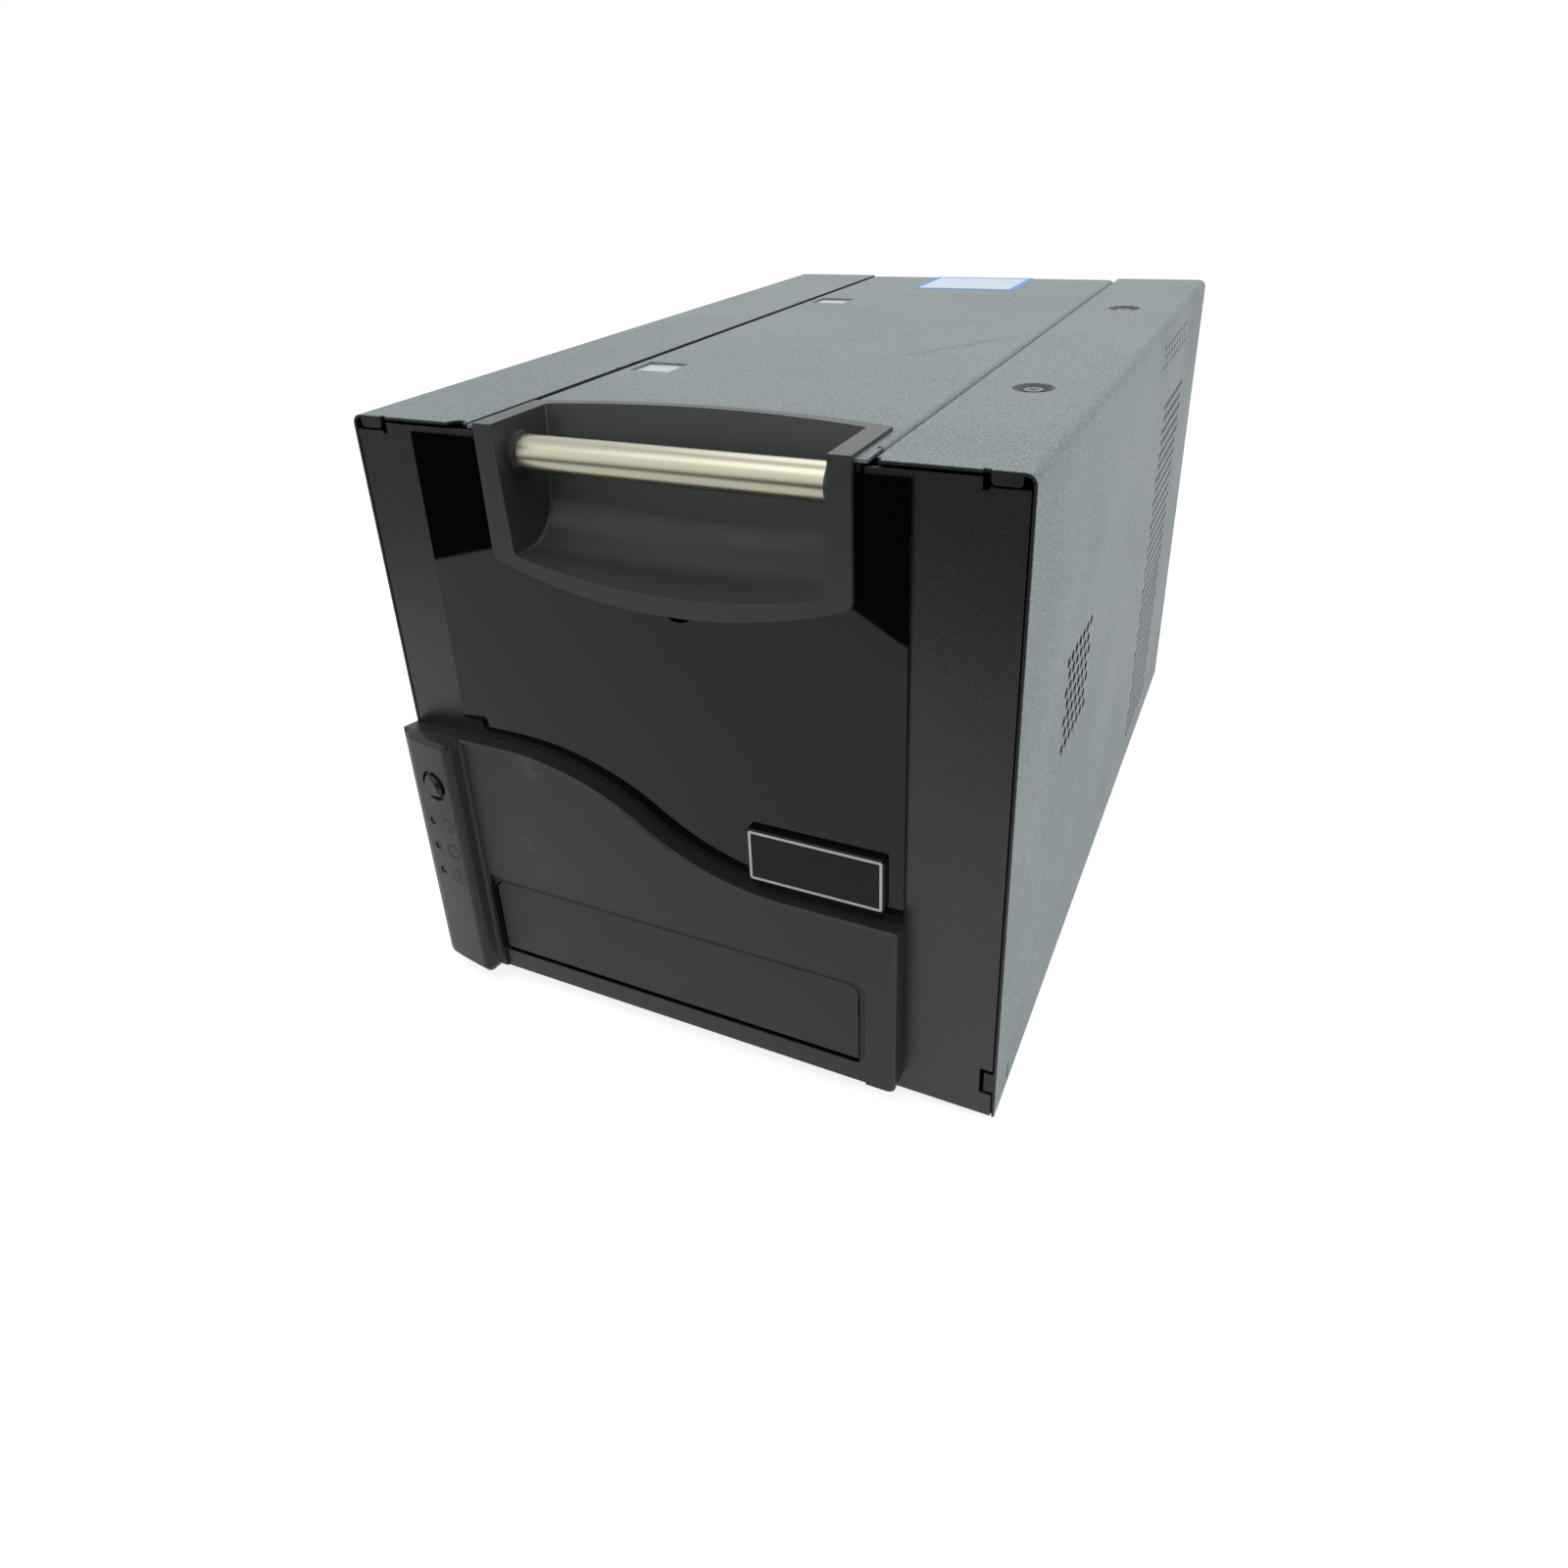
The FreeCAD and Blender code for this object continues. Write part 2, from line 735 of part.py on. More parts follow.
def make_bezel():
    front = front_y - bezel_face
    soft = edge_round
    shell = Part.makeLoft(
        [bezel_outline(front_y, -ledge_fall, 0), bezel_outline(front + soft, 0, 0)], True, True
    )
    nose = Part.makeLoft(
        [bezel_outline(front + soft, 0, 0), bezel_outline(front, -soft * 0.2, soft * 0.8)], True, True
    )
    low = height(bezel_bottom)
    high = height(ledge_high)
    end = column_end_round
    column = prism(column_outline(low + end, 0), Vector(0, 0, high - low - 2 * end))
    foot = Part.makeLoft([column_outline(low, end * 0.6), column_outline(low + end, 0)], True, True)
    cap = Part.makeLoft([column_outline(high - end, 0), column_outline(high, end * 0.6)], True, True)
    slope = Part.makePolygon([
        Vector(-half - 1, front_y + 1, height(ledge_high)),
        Vector(-half - 1, front_y + 1, height(ledge_high - ledge_fall)),
        Vector(-half - 1, front_y, height(ledge_high - ledge_fall)),
        Vector(-half - 1, front, height(ledge_high)),
        Vector(-half - 1, front_y + 1, height(ledge_high)),
    ])
    column = joined([foot, column, cap]).cut(prism(slope, Vector(column_foot + 2, 0, 0)))
    body = joined([shell, nose, column])
    wall = bezel_wall
    hollow = Part.makeLoft([
        bezel_outline(front_y + 1, -ledge_fall, wall), bezel_outline(front + wall, 0, wall)
    ], True, True)
    column_hollow = prism(
        column_outline(low + wall, wall), Vector(0, 0, ledge_high - bezel_bottom - 2 * wall - 1)
    )
    hollow = hollow.fuse(column_hollow)
    ring = block(
        door_left - opening_wall, door_right + opening_wall, front - 1, front_y + 2,
        height(door_bottom) - opening_wall, height(door_top) + opening_wall,
    )
    hollow = hollow.cut(ring)
    shell = body.cut(hollow)
    recess_left = door_left - recess_margin
    recess = rounded_outline(
        in_xz(front - 1), recess_left, recess_right, height(bezel_bottom) - 1, height(recess_top),
        (0.5, 0.5, 3.0, 0.5),
    )
    opening = rounded_outline(
        in_xz(front - 10), door_left, door_right, height(door_bottom), height(door_top),
        (1.0, 1.0, door_corner, door_corner),
    )
    cuts = [prism(recess, Vector(0, 1 + recess_depth, 0)), prism(opening, Vector(0, 20 + bezel_face, 0))]
    pin_z = height(door_bottom + pin_inset)
    pin_y = door_axis_y()
    reach = 1.5
    cuts.append(rod_x(door_left - reach, door_right + reach, pin_y, pin_z, door_pin_radius + running))
    inward = control_axis()
    button_front = Vector(button_x, column_face(button_x), height(button_height))
    cuts.append(rod(button_front - inward * 5, button_front + inward * 1.2, button_ring))
    cuts.append(rod(button_front - inward * 5, button_front + inward * 10, button_radius + moving_gap))
    for light in light_heights:
        place = Vector(light_x, column_face(light_x), height(light))
        cuts.append(rod(place - inward * 5, place + inward * 0.9, light_bore))
        cuts.append(rod(place - inward * 5, place + inward * 10, light_radius))
    return without(shell, cuts)


def door_axis_y():
    """Depth of the door's hinge line, in the middle of its thickness."""
    return front_y - bezel_face + recess_depth + 0.5 + door_thick / 2


def make_tray_door():
    """Flap with a round lower edge about its hinge line, and a stub pin at each end."""
    left = door_left + door_gap
    right = door_right - door_gap
    axis_y = door_axis_y()
    axis_z = height(door_bottom + pin_inset)
    thick = door_thick / 2
    top = height(door_top) - door_gap
    corner = door_corner - door_gap
    steps = [(axis_y - thick, axis_z)]
    steps.append(((axis_y, axis_z - thick), (axis_y + thick, axis_z)))
    steps.append((axis_y + thick, top))
    leaf = prism(outline(in_yz(left), (axis_y - thick, top), steps), Vector(right - left, 0, 0))
    face = rounded_outline(
        in_xz(axis_y - door_thick), left, right, axis_z - door_thick, top, (0.1, 0.1, corner, corner)
    )
    leaf = leaf.common(prism(face, Vector(0, 2 * door_thick, 0)))
    pins = []
    pins.append(rod_x(door_left - 1.2, left + 3, axis_y, axis_z, door_pin_radius))
    pins.append(rod_x(right - 3, door_right + 1.2, axis_y, axis_z, door_pin_radius))
    return joined([leaf] + pins)


def make_operator_button():
    """Round push button with a stem that reaches the switch on the panel board."""
    inward = control_axis()
    front = Vector(button_x, column_face(button_x), height(button_height))
    crown = front - inward * button_proud
    head = rod(crown, front + inward * (button_reach - 0.2), button_radius)
    rim = rod(front + inward * 3.0, front + inward * 4.5, button_radius + 1.2)
    head = head.makeChamfer(button_proud * 0.75, [edge_at(head, crown)])
    return joined([head, rim])


def edge_at(shape, place):
    """The edge whose middle circle centre is nearest to a place."""
    def miss(edge):
        return edge.CenterOfMass.distanceToPoint(place)
    round_edges = [edge for edge in shape.Edges if isinstance(edge.Curve, Part.Circle)]
    return min(round_edges, key=miss)


def make_status_lights():
    inward = control_axis()
    lights = []
    for light in light_heights:
        place = Vector(light_x, column_face(light_x), height(light))
        lights.append(rod(place + inward * 0.5, place + inward * 6.0, light_radius - 0.05))
    return Part.makeCompound(lights)


def make_panel_board():
    """Small circuit board on the front sheet, with the button's switch and three light sockets."""
    x0 = -half + 7.0
    x1 = x0 + 22.0
    low = ledge_high - 79.4
    high = ledge_high - 9.4
    board = block(x0, x1, front_y - 4.1, front_y - 2.5, height(low), height(high))
    posts = []
    for x in (x0 + 3, x1 - 3):
        for z in (low + 2.5, high - 2.5):
            posts.append(rod_y(front_y - 2.5, front_y, x, height(z), 2.0))
    press = Vector(button_x, column_face(button_x), height(button_height)) + control_axis() * button_reach
    switch = block(press.x - 3, press.x + 3, front_y - 6.0, front_y - 4.1, press.z - 3, press.z + 3)
    return joined([board, switch] + posts)


# Lid

hook_depth = 2.5
pad_margin = 2.5
pad_thick = 2.0
gusset_inset = 1.4
gusset_reach = 60.0
gusset_low = mouth_bottom + 3.5
brace_depths = (190.0, lid_back - 28.0)
brace_tall = 10.0
brace_wide = 14.0
label_left = -31.7
label_right = 32.3
label_front = lid_back - 56.0
label_back = lid_back - 1.0
badge_left = panel_right - 64.0
badge_right = panel_right - 6.8
badge_low = 92.0
badge_high = 116.2
badge_thick = 3.0
hole_x = 7.5
hole_height = handle_low + 5.6
hole_radius = 8.2


def lid_channel():
    """Top plate with both side flanges, folded from one sheet, behind the front corners."""
    bend_z = top_z - lid_bend
    inner_bend = lid_bend - sheet
    left, right = lid_left, lid_right
    low = top_z - lid_flange
    steps = [(left, bend_z)]
    steps.append((corner_mid((left + lid_bend, bend_z), lid_bend, 135), (left + lid_bend, top_z)))
    steps.append((right - lid_bend, top_z))
    steps.append((corner_mid((right - lid_bend, bend_z), lid_bend, 45), (right, bend_z)))
    steps.append((right, low))
    steps.append((right - sheet, low))
    steps.append((right - sheet, bend_z))
    steps.append((
        corner_mid((right - lid_bend, bend_z), inner_bend, 45), (right - lid_bend, top_z - sheet)
    ))
    steps.append((left + lid_bend, top_z - sheet))
    steps.append((corner_mid((left + lid_bend, bend_z), inner_bend, 135), (left + sheet, bend_z)))
    steps.append((left + sheet, low))
    length = lid_back - lid_bend - 0.5 - lid_flange_start
    return prism(outline(in_xz(depth(lid_flange_start)), (left, low), steps), Vector(0, length, 0))


def lid_rear_fold():
    """Rear edge of the lid, turned down."""
    back = depth(lid_back)
    bend_y = back - lid_bend
    bend_z = top_z - lid_bend
    inner_bend = lid_bend - sheet
    low = top_z - rear_lip
    steps = [(back, bend_z)]
    steps.append((corner_mid((bend_y, bend_z), lid_bend, 45), (bend_y, top_z)))
    steps.append((bend_y - 10, top_z))
    steps.append((bend_y - 10, top_z - sheet))
    steps.append((bend_y, top_z - sheet))
    steps.append((corner_mid((bend_y, bend_z), inner_bend, 45), (back - sheet, bend_z)))
    steps.append((back - sheet, low))
    wire = outline(in_yz(lid_left + lid_bend), (back, low), steps)
    return prism(wire, Vector(lid_width - 2 * lid_bend, 0, 0))


def lid_ear(side):
    """Flange lug with the hole for a pivot pin."""
    outer = lid_left if side < 0 else lid_right
    inner = outer - side * sheet
    low = pivot_z - 8.0
    back = depth(lid_back - lid_bend) - 0.5
    return block(min(outer, inner), max(outer, inner), pivot_y - 10, back, low, top_z - lid_flange + 1)


def make_lid_sheet():
    front = block(
        lid_left + 0.5, lid_right - 0.5, depth(-1.0), depth(lid_flange_start), top_z - sheet, top_z
    )
    sheet_metal = joined([front, lid_channel(), lid_rear_fold(), lid_ear(-1), lid_ear(1)])
    cuts = [rod_x(lid_left - 1, lid_right + 1, pivot_y, pivot_z, pivot_radius + running)]
    for edge in (lid_left, lid_right):
        y1 = depth(lid_flange_start)
        cuts.append(block(
            edge - hook_depth, edge + hook_depth, y1 - 2.5, y1, top_z - 2 * sheet, top_z + 1
        ))
    for station in stations:
        x0 = window_x - window_width / 2
        y0 = depth(station) - window_length / 2
        cuts.append(block(x0, x0 + window_width, y0, y0 + window_length, top_z - 2 * sheet, top_z + 1))
    cuts.append(handle_body(0.0))
    return without(sheet_metal, cuts)


def make_window_pads():
    pads = []
    for station in stations:
        wide = window_width / 2 + pad_margin
        long = window_length / 2 + pad_margin
        y = depth(station)
        pads.append(block(
            window_x - wide, window_x + wide, y - long, y + long, top_z - sheet - pad_thick, top_z - sheet
        ))
    return Part.makeCompound(pads)


def make_blank_label():
    wire = rounded_outline(
        in_xy(top_z), label_left, label_right, depth(label_front),
        depth(label_back) - lid_bend + 1.5, (1.5, 1.5, 1.5, 1.5)
    )
    return prism(wire, Vector(0, 0, 0.2))


# Handle housing: a bowl behind a rim, open to the front and to the top

mouth_top_half = 66.6
mouth_low_half = 63.8
mouth_low = handle_low + 7.8
mouth_end = handle_end + 3.1
bowl_low_mid = 31.0
bowl_low_end = 21.0
bowl_floor_round = 20.0
bowl_side_round = 2.0
flange_over_back = 4.2
panel_back = 0.3


def handle_plan(z, half_width, y_mid, y_end, y_front):
    """Plan section of the bowl: straight sides and a bowed back."""
    x0 = handle_centre - half_width
    x1 = handle_centre + half_width
    steps = [(x1, y_front), (x1, y_end), ((handle_centre, y_mid), (x0, y_end))]
    return outline(in_xy(z), (x0, y_front), steps)


def bowed(mid, end, x):
    """Value at x of a shallow bow across the mouth."""
    share = (x - handle_centre) / mouth_top_half
    return mid + (end - mid) * share ** 2


def bowl_profile(x, grow):
    """Side profile of the bowl at one x: front lip, scooped floor, back wall leaning away."""
    y_front = depth(-8.0)
    z_top = top_z + handle_proud + 1
    z_floor = height(bowed(mouth_low, mouth_end, x)) - grow
    y_top = depth(bowed(handle_back_mid, handle_back_end, x) + grow)
    y_low = depth(bowed(bowl_low_mid, bowl_low_end, x) + grow)
    radius = bowl_floor_round + grow
    lean = math.atan2(y_top - y_low, z_top - z_floor)
    turn = math.pi / 2 - lean
    y_start = y_low - radius * math.tan(turn / 2)
    mid = (y_start + radius * math.sin(turn / 2), z_floor + radius * (1 - math.cos(turn / 2)))
    end = (y_start + radius * math.sin(turn), z_floor + radius * (1 - math.cos(turn)))
    steps = [(y_start, z_floor), (mid, end), (y_top, z_top), (y_front, z_top)]
    return outline(in_yz(x), (y_front, z_floor), steps)


def handle_cavity(grow, corner):
    """The hollow of the bowl, or with grow the body around it."""
    reach = mouth_top_half + grow + 3
    profiles = [bowl_profile(handle_centre + reach * share, grow) for share in (-1.0, -0.5, 0.0, 0.5, 1.0)]
    scoop = Part.makeLoft(profiles, True, False)
    z_low = height(mouth_low) - grow - 2
    z_high = top_z + handle_proud + 1
    low_half = mouth_low_half + grow
    high_half = mouth_top_half + grow
    steps = [(handle_centre + low_half, z_low)]
    steps += [(handle_centre + high_half, z_high), (handle_centre - high_half, z_high)]
    sides = prism(outline(in_xz(depth(-20)), (handle_centre - low_half, z_low), steps), Vector(0, 120, 0))
    solid = scoop.common(sides).Solids[0]
    rounded = [edge for edge in solid.Edges if is_side_edge(edge, z_high)]
    return solid.makeFillet(corner, rounded).Solids[0]


def is_side_edge(edge, z_high):
    """True where a side wall of the bowl meets its floor or its back."""
    box = edge.BoundBox
    return box.XLength < 6 and box.YMax > depth(-7.9) and box.ZMin < z_high - 5


def handle_body(grow):
    return handle_cavity(handle_wall + grow, bowl_side_round + handle_wall)


def make_handle_housing():
    outer_half = handle_width / 2
    x0 = handle_centre - outer_half
    x1 = handle_centre + outer_half
    z_top = top_z + handle_proud
    low = height(handle_low)
    end = height(handle_end)
    corner = 3.0
    steps = [(x0, end + corner)]
    steps.append(((x0 + 0.9, end + 0.7), (x0 + corner, end - 0.7)))
    steps.append(((handle_centre, low), (x1 - corner, end - 0.7)))
    steps.append(((x1 - 0.9, end + 0.7), (x1, end + corner)))
    steps.append((x1, z_top))
    rim_back = depth(-panel_back - panel_thick)
    rim = prism(
        outline(in_xz(depth(-handle_face)), (x0, z_top), steps),
        Vector(0, rim_back - depth(-handle_face), 0)
    )
    flange_mid = depth(handle_back_mid + flange_over_back)
    flange_end = depth(handle_back_end + flange_over_back - 1.0)
    flange = prism(
        handle_plan(top_z, outer_half, flange_mid, flange_end, depth(-handle_face)), Vector(0, 0, handle_proud)
    )
    bridge = block(x0, x1, depth(-handle_face), depth(-1.0), height(panel_top_edge()), z_top)
    body = handle_body(0.0).common(block(x0, x1, rim_back, depth(100), 0, z_top))
    solid = joined([rim, flange, bridge, body])
    bar = rod_x(x0 + 4, x1 - 4, depth(bar_depth), height(bar_height), bar_radius)
    cavity = handle_cavity(0.0, bowl_side_round)
    boss = boss_rings(x0, x1)
    return solid.cut(cavity).fuse(boss).cut(bar).removeSplitter()


def boss_rings(x0, x1):
    """Short collar where each end of the bar meets a side wall."""
    collar = bar_radius + 1.2
    start = mouth_top_half - 4.0
    left = rod_x(
        handle_centre - mouth_top_half - 1, handle_centre - start,
        depth(bar_depth), height(bar_height), collar
    )
    right = rod_x(
        handle_centre + start, handle_centre + mouth_top_half + 1,
        depth(bar_depth), height(bar_height), collar
    )
    return left.fuse(right)


def panel_top_edge():
    return box_height - panel_top_drop


def make_handle_bar():
    reach = handle_width / 2 - 4
    return rod_x(
        handle_centre - reach, handle_centre + reach, depth(bar_depth), height(bar_height), bar_radius
    )


def make_gloss_panel():
    """Thin glossy plate whose lower edge follows the ledge of the bezel."""
    y = depth(-panel_back - panel_thick)
    start, upper, join, lower, end = wave_points(wave_panel_gap - ledge_fall)
    top = height(panel_top_edge())
    notch_x = panel_left + panel_notch_width
    notch_z = start[1] + panel_notch_height
    r = panel_notch_radius
    steps = [(panel_left, notch_z), (notch_x - r, notch_z)]
    steps.append((corner_mid((notch_x - r, notch_z - r), r, 45), (notch_x, notch_z - r)))
    steps.append((notch_x, start[1]))
    steps.append(start)
    steps += [(upper, join), (lower, end), (panel_right, end[1]), (panel_right, top)]
    plate = prism(outline(in_xz(y), (panel_left, top), steps), Vector(0, panel_thick, 0))
    hole = rod_y(y - 1, y + 5, hole_x, height(hole_height), hole_radius)
    return without(plate, [handle_body(0.3), hole])


def make_badge_plate():
    y = depth(-panel_back - panel_thick)
    wire = rounded_outline(
        in_xz(y - badge_thick), badge_left, badge_right, height(badge_low),
        height(badge_high), (1.0, 1.0, 1.0, 1.0)
    )
    plate = prism(wire, Vector(0, badge_thick, 0))
    front_edges = [edge for edge in plate.Edges if edge.BoundBox.YMax < y - badge_thick + 0.01]
    return plate.makeChamfer(0.6, front_edges)


def make_lid_inner_frame():
    """Bent stiffener behind the gloss panel, with gussets up to the lid and two cross braces."""
    left = lid_centre - mouth_half + gusset_inset
    right = lid_centre + mouth_half - gusset_inset
    y0 = depth(-panel_back)
    low = height(gusset_low)
    z1 = top_z - sheet
    plate = block(left, right, y0, y0 + sheet, low, z1)
    parts = [plate]
    for side, outer in ((-1, left), (1, right)):
        profile = Part.makePolygon([
            Vector(outer, y0, low),
            Vector(outer, depth(gusset_reach * 0.3), low),
            Vector(outer, depth(gusset_reach), top_z - 40),
            Vector(outer, depth(gusset_reach), z1),
            Vector(outer, y0, z1),
            Vector(outer, y0, low),
        ])
        parts.append(prism(profile, Vector(-side * sheet, 0, 0)))
        inner = outer - side * 5.0
        parts.append(block(min(outer, inner), max(outer, inner), y0, depth(gusset_reach), z1 - sheet, z1))
    for brace in brace_depths:
        y = depth(brace)
        x0 = lid_left + lid_bend
        x1 = lid_right - lid_bend
        outer_box = block(x0, x1, y - brace_wide / 2, y + brace_wide / 2, z1 - brace_tall, z1)
        inner_box = block(
            x0 - 1, x1 + 1, y - brace_wide / 2 + sheet,
            y + brace_wide / 2 - sheet, z1 - brace_tall + sheet, z1 + 1
        )
        parts.append(outer_box.cut(inner_box))
    cuts = [handle_body(0.3), rod_y(y0 - 1, y0 + 5, hole_x, height(hole_height), hole_radius)]
    pieces = [joined(parts[:5])] + parts[5:]
    return Part.makeCompound([without(piece, cuts) for piece in pieces])


magnet_depth = 20.0
magnet_length = 12.0
magnet_low = box_height - 31.8
magnet_tall = 12.0
strike_gap = 0.3
strike_thick = 1.2


def catch_spans():
    """For each side: the frame's face, the magnet's inner face, the strike's outer and inner edges."""
    left_gusset = lid_centre - mouth_half + gusset_inset
    right_gusset = lid_centre + mouth_half - gusset_inset
    spans = []
    spans.append((frame_left, left_gusset - 0.7, lid_left, left_gusset))
    spans.append((frame_right, right_gusset + 0.7, lid_right, right_gusset))
    return spans


def make_catch_magnets():
    magnets = []
    for frame_face, inner, strike_out, strike_in in catch_spans():
        x0, x1 = min(frame_face, inner), max(frame_face, inner)
        y0 = depth(magnet_depth)
        magnets.append(block(
            x0, x1, y0, y0 + magnet_length, height(magnet_low), height(magnet_low + magnet_tall)
        ))
    return Part.makeCompound(magnets)


def make_catch_strikes():
    strikes = []
    for frame_face, inner, strike_out, strike_in in catch_spans():
        x0, x1 = min(strike_out, strike_in), max(strike_out, strike_in)
        y0 = depth(magnet_depth)
        low = height(magnet_low + magnet_tall) + strike_gap
        strikes.append(block(x0, x1, y0, y0 + magnet_length, low, low + strike_thick))
    return Part.makeCompound(strikes)


def make_pivot_pins():
    pins = []
    pins.append(rod_x(frame_left - sheet, lid_left + 4, pivot_y, pivot_z, pivot_radius))
    pins.append(rod_x(lid_right - 4, frame_right + sheet, pivot_y, pivot_z, pivot_radius))
    return Part.makeCompound(pins)


# Gears

rack_addendum = 1.4
gear_addendum = 2.0
gear_dedendum = 2.5


def involute(angle):
    return math.tan(angle) - angle


def gear(x0, x1, y, z, teeth, phase):
    """Spur gear with its axis along X. Phase is the angle of its first tooth from +Y, in degrees."""
    pitch_radius = gear_module * teeth / 2
    base_radius = pitch_radius * math.cos(math.radians(pressure_angle))
    root_radius = pitch_radius - gear_dedendum
    tip_radius = pitch_radius + gear_addendum
    half_at_pitch = (math.pi * gear_module - backlash) / (4 * pitch_radius)
    at_pitch = involute(math.radians(pressure_angle))
    levels = [max(root_radius, base_radius), (base_radius + tip_radius) / 2 + 0.5, tip_radius]
    flank = [(root_radius, half_at_pitch + at_pitch)]
    for radius in levels:
        pressure = math.acos(min(1.0, base_radius / radius))
        flank.append((radius, half_at_pitch + at_pitch - involute(pressure)))
    corners = []
    for tooth in range(teeth):
        middle = math.radians(phase) + 2 * math.pi * tooth / teeth
        for radius, spread in flank:
            corners.append((radius, middle - spread))
        for radius, spread in reversed(flank):
            corners.append((radius, middle + spread))
    places = [Vector(x0, y + r * math.cos(turn), z + r * math.sin(turn)) for r, turn in corners]
    return prism(Part.makePolygon(places + places[:1]), Vector(x1 - x0, 0, 0))


# Disc tray

tray_low = 46.0
disc_set_back = 64.0
disc_clear = 0.6
rack_pinion_depth = 92.0
tongue_thick = 3.0
rail_web = 3.0
ledge_thick = 3.0
foot_wide = 11.0


def rack_pitch_height():
    return tray_low + rack_addendum


def pinion_height():
    return rack_pitch_height() - gear_module * tray_pinion_teeth / 2


def rack_gaps(x0, x1):
    """Tooth spaces cut up into the underside of the tray's edge strip."""
    pitch = math.pi * gear_module
    slope = math.tan(math.radians(pressure_angle))
    middle_half = pitch / 4 + backlash / 4
    root = rack_pitch_height() + gear_dedendum
    low = tray_low - 0.5
    count = int(tray_travel / pitch) + 3
    gaps = []
    for index in range(-1, count - 1):
        y = depth(rack_pinion_depth + index * pitch)
        wide = middle_half + (rack_pitch_height() - low) * slope
        narrow = middle_half - (root - rack_pitch_height()) * slope
        corners = [
            Vector(x0, y - wide, height(low)),
            Vector(x0, y + wide, height(low)),
            Vector(x0, y + narrow, height(root)),
            Vector(x0, y - narrow, height(root)),
        ]
        gaps.append(prism(Part.makePolygon(corners + corners[:1]), Vector(x1 - x0, 0, 0)))
    return gaps


def make_disc_tray():
    left = tray_centre - tray_half
    right = tray_centre + tray_half + rack_width
    y0 = depth(tray_set_back)
    y1 = y0 + tray_length
    low = height(tray_low)
    top = low + tray_thick
    plate = prism(
        rounded_outline(in_xy(low), left, right, y0, y1, (4, 4, 2, 2)), Vector(0, 0, tray_thick)
    )
    mid = low + tray_thick / 2
    tongue = block(
        left - tray_tongue, right + tray_tongue, y0 + 6, y1 - 2,
        mid - tongue_thick / 2, mid + tongue_thick / 2
    )
    disc_y = y0 + disc_set_back
    cuts = [rod_z(top - disc_recess, top + 1, tray_centre, disc_y, disc_diameter / 2 + disc_clear)]
    cuts.append(rod_z(low - 1, top + 1, tray_centre, disc_y, 6.0))
    window = prism(
        rounded_outline(in_xy(low - 1), tray_centre - 13, tray_centre + 13, disc_y + 22, disc_y + 52, (6, 6, 6, 6)),
        Vector(0, 0, tray_thick + 2),
    )
    cuts.append(window)
    for side in (-1, 1):
        cuts.append(rod_z(low - 1, top + 1, tray_centre + side * 40, y0 - 4, 12.0))
    cuts += rack_gaps(right - rack_width, right + 0.01)
    return without(joined([plate, tongue]), cuts)


def make_tray_hub():
    """Spindle boss that centres the disc."""
    y = depth(tray_set_back + disc_set_back)
    top = height(tray_low) + tray_thick
    peg = rod_z(height(tray_low) + 1, top - disc_recess, tray_centre, y, 6.0)
    seat = rod_z(top - disc_recess, top - disc_recess + 1.0, tray_centre, y, 13.0)
    boss = rod_z(top - disc_recess, top + 0.4, tray_centre, y, 7.4)
    return joined([peg, seat, boss])


def make_tray_rail(side):
    """Grooved rail for one edge of the tray."""
    edge = tray_centre - tray_half if side < 0 else tray_centre + tray_half + rack_width
    inner = edge + side * moving_gap
    web_in = edge + side * (tray_tongue + moving_gap)
    y0 = depth(rail_start)
    y1 = y0 + rail_length
    mid = height(tray_low) + tray_thick / 2
    groove = tongue_thick / 2 + moving_gap
    parts = []
    for low in (mid - groove - ledge_thick, mid + groove):
        parts.append(block(min(inner, web_in), max(inner, web_in), y0, y1, low, low + ledge_thick))
    top = mid + groove + ledge_thick
    if side < 0:
        web_out = frame_left
        parts.append(block(web_out, web_in, y0, y1, mid - groove - 2 * ledge_thick, top))
        return joined(parts)
    web_out = web_in + rail_web
    parts.append(block(web_in, web_out, y0, y1, floor_z + sheet, top))
    parts.append(block(web_out, web_out + foot_wide, y0, y1, floor_z + sheet, floor_z + 2 * sheet))
    rail = joined(parts)
    y = depth(rack_pinion_depth)
    z = height(pinion_height())
    cuts = [rod_x(web_in - 1, web_out + 1, y, z, 3.4)]
    for distance in (150.0, 200.0, 250.0, 300.0):
        cuts.append(rod_x(web_in - 1, web_out + 1, depth(distance), height(24), 12.0))
    return without(rail, cuts)


def tray_pinion_span():
    """X of the pinion's two faces, in the middle of the rack strip."""
    right = tray_centre + tray_half + rack_width
    middle = right - rack_width / 2
    return middle - gear_width / 2, middle + gear_width / 2


motor_shaft_radius = 2.5
tray_motor_radius = 13.0
tray_motor_length = 15.0


def make_tray_pinion():
    x0, x1 = tray_pinion_span()
    y = depth(rack_pinion_depth)
    z = height(pinion_height())
    web_out = tray_centre + tray_half + rack_width + tray_tongue + moving_gap + rail_web
    wheel = gear(x0, x1, y, z, tray_pinion_teeth, 90)
    shaft = rod_x(x0 - 1.5, web_out + 4, y, z, motor_shaft_radius)
    return joined([wheel, shaft])


def make_tray_motor():
    web_out = tray_centre + tray_half + rack_width + tray_tongue + moving_gap + rail_web
    y = depth(rack_pinion_depth)
    z = height(pinion_height())
    body = rod_x(web_out, web_out + tray_motor_length, y, z, tray_motor_radius)
    bore = rod_x(web_out - 1, web_out + 5, y, z, motor_shaft_radius + running)
    return body.cut(bore)


# Rollers, spools and gears

shaft_over = 1.0
drive_out = 7.0
wheel_gap = 2.0
coat_end = 6.0
core_radius = 12.0
spool_flange = 2.0


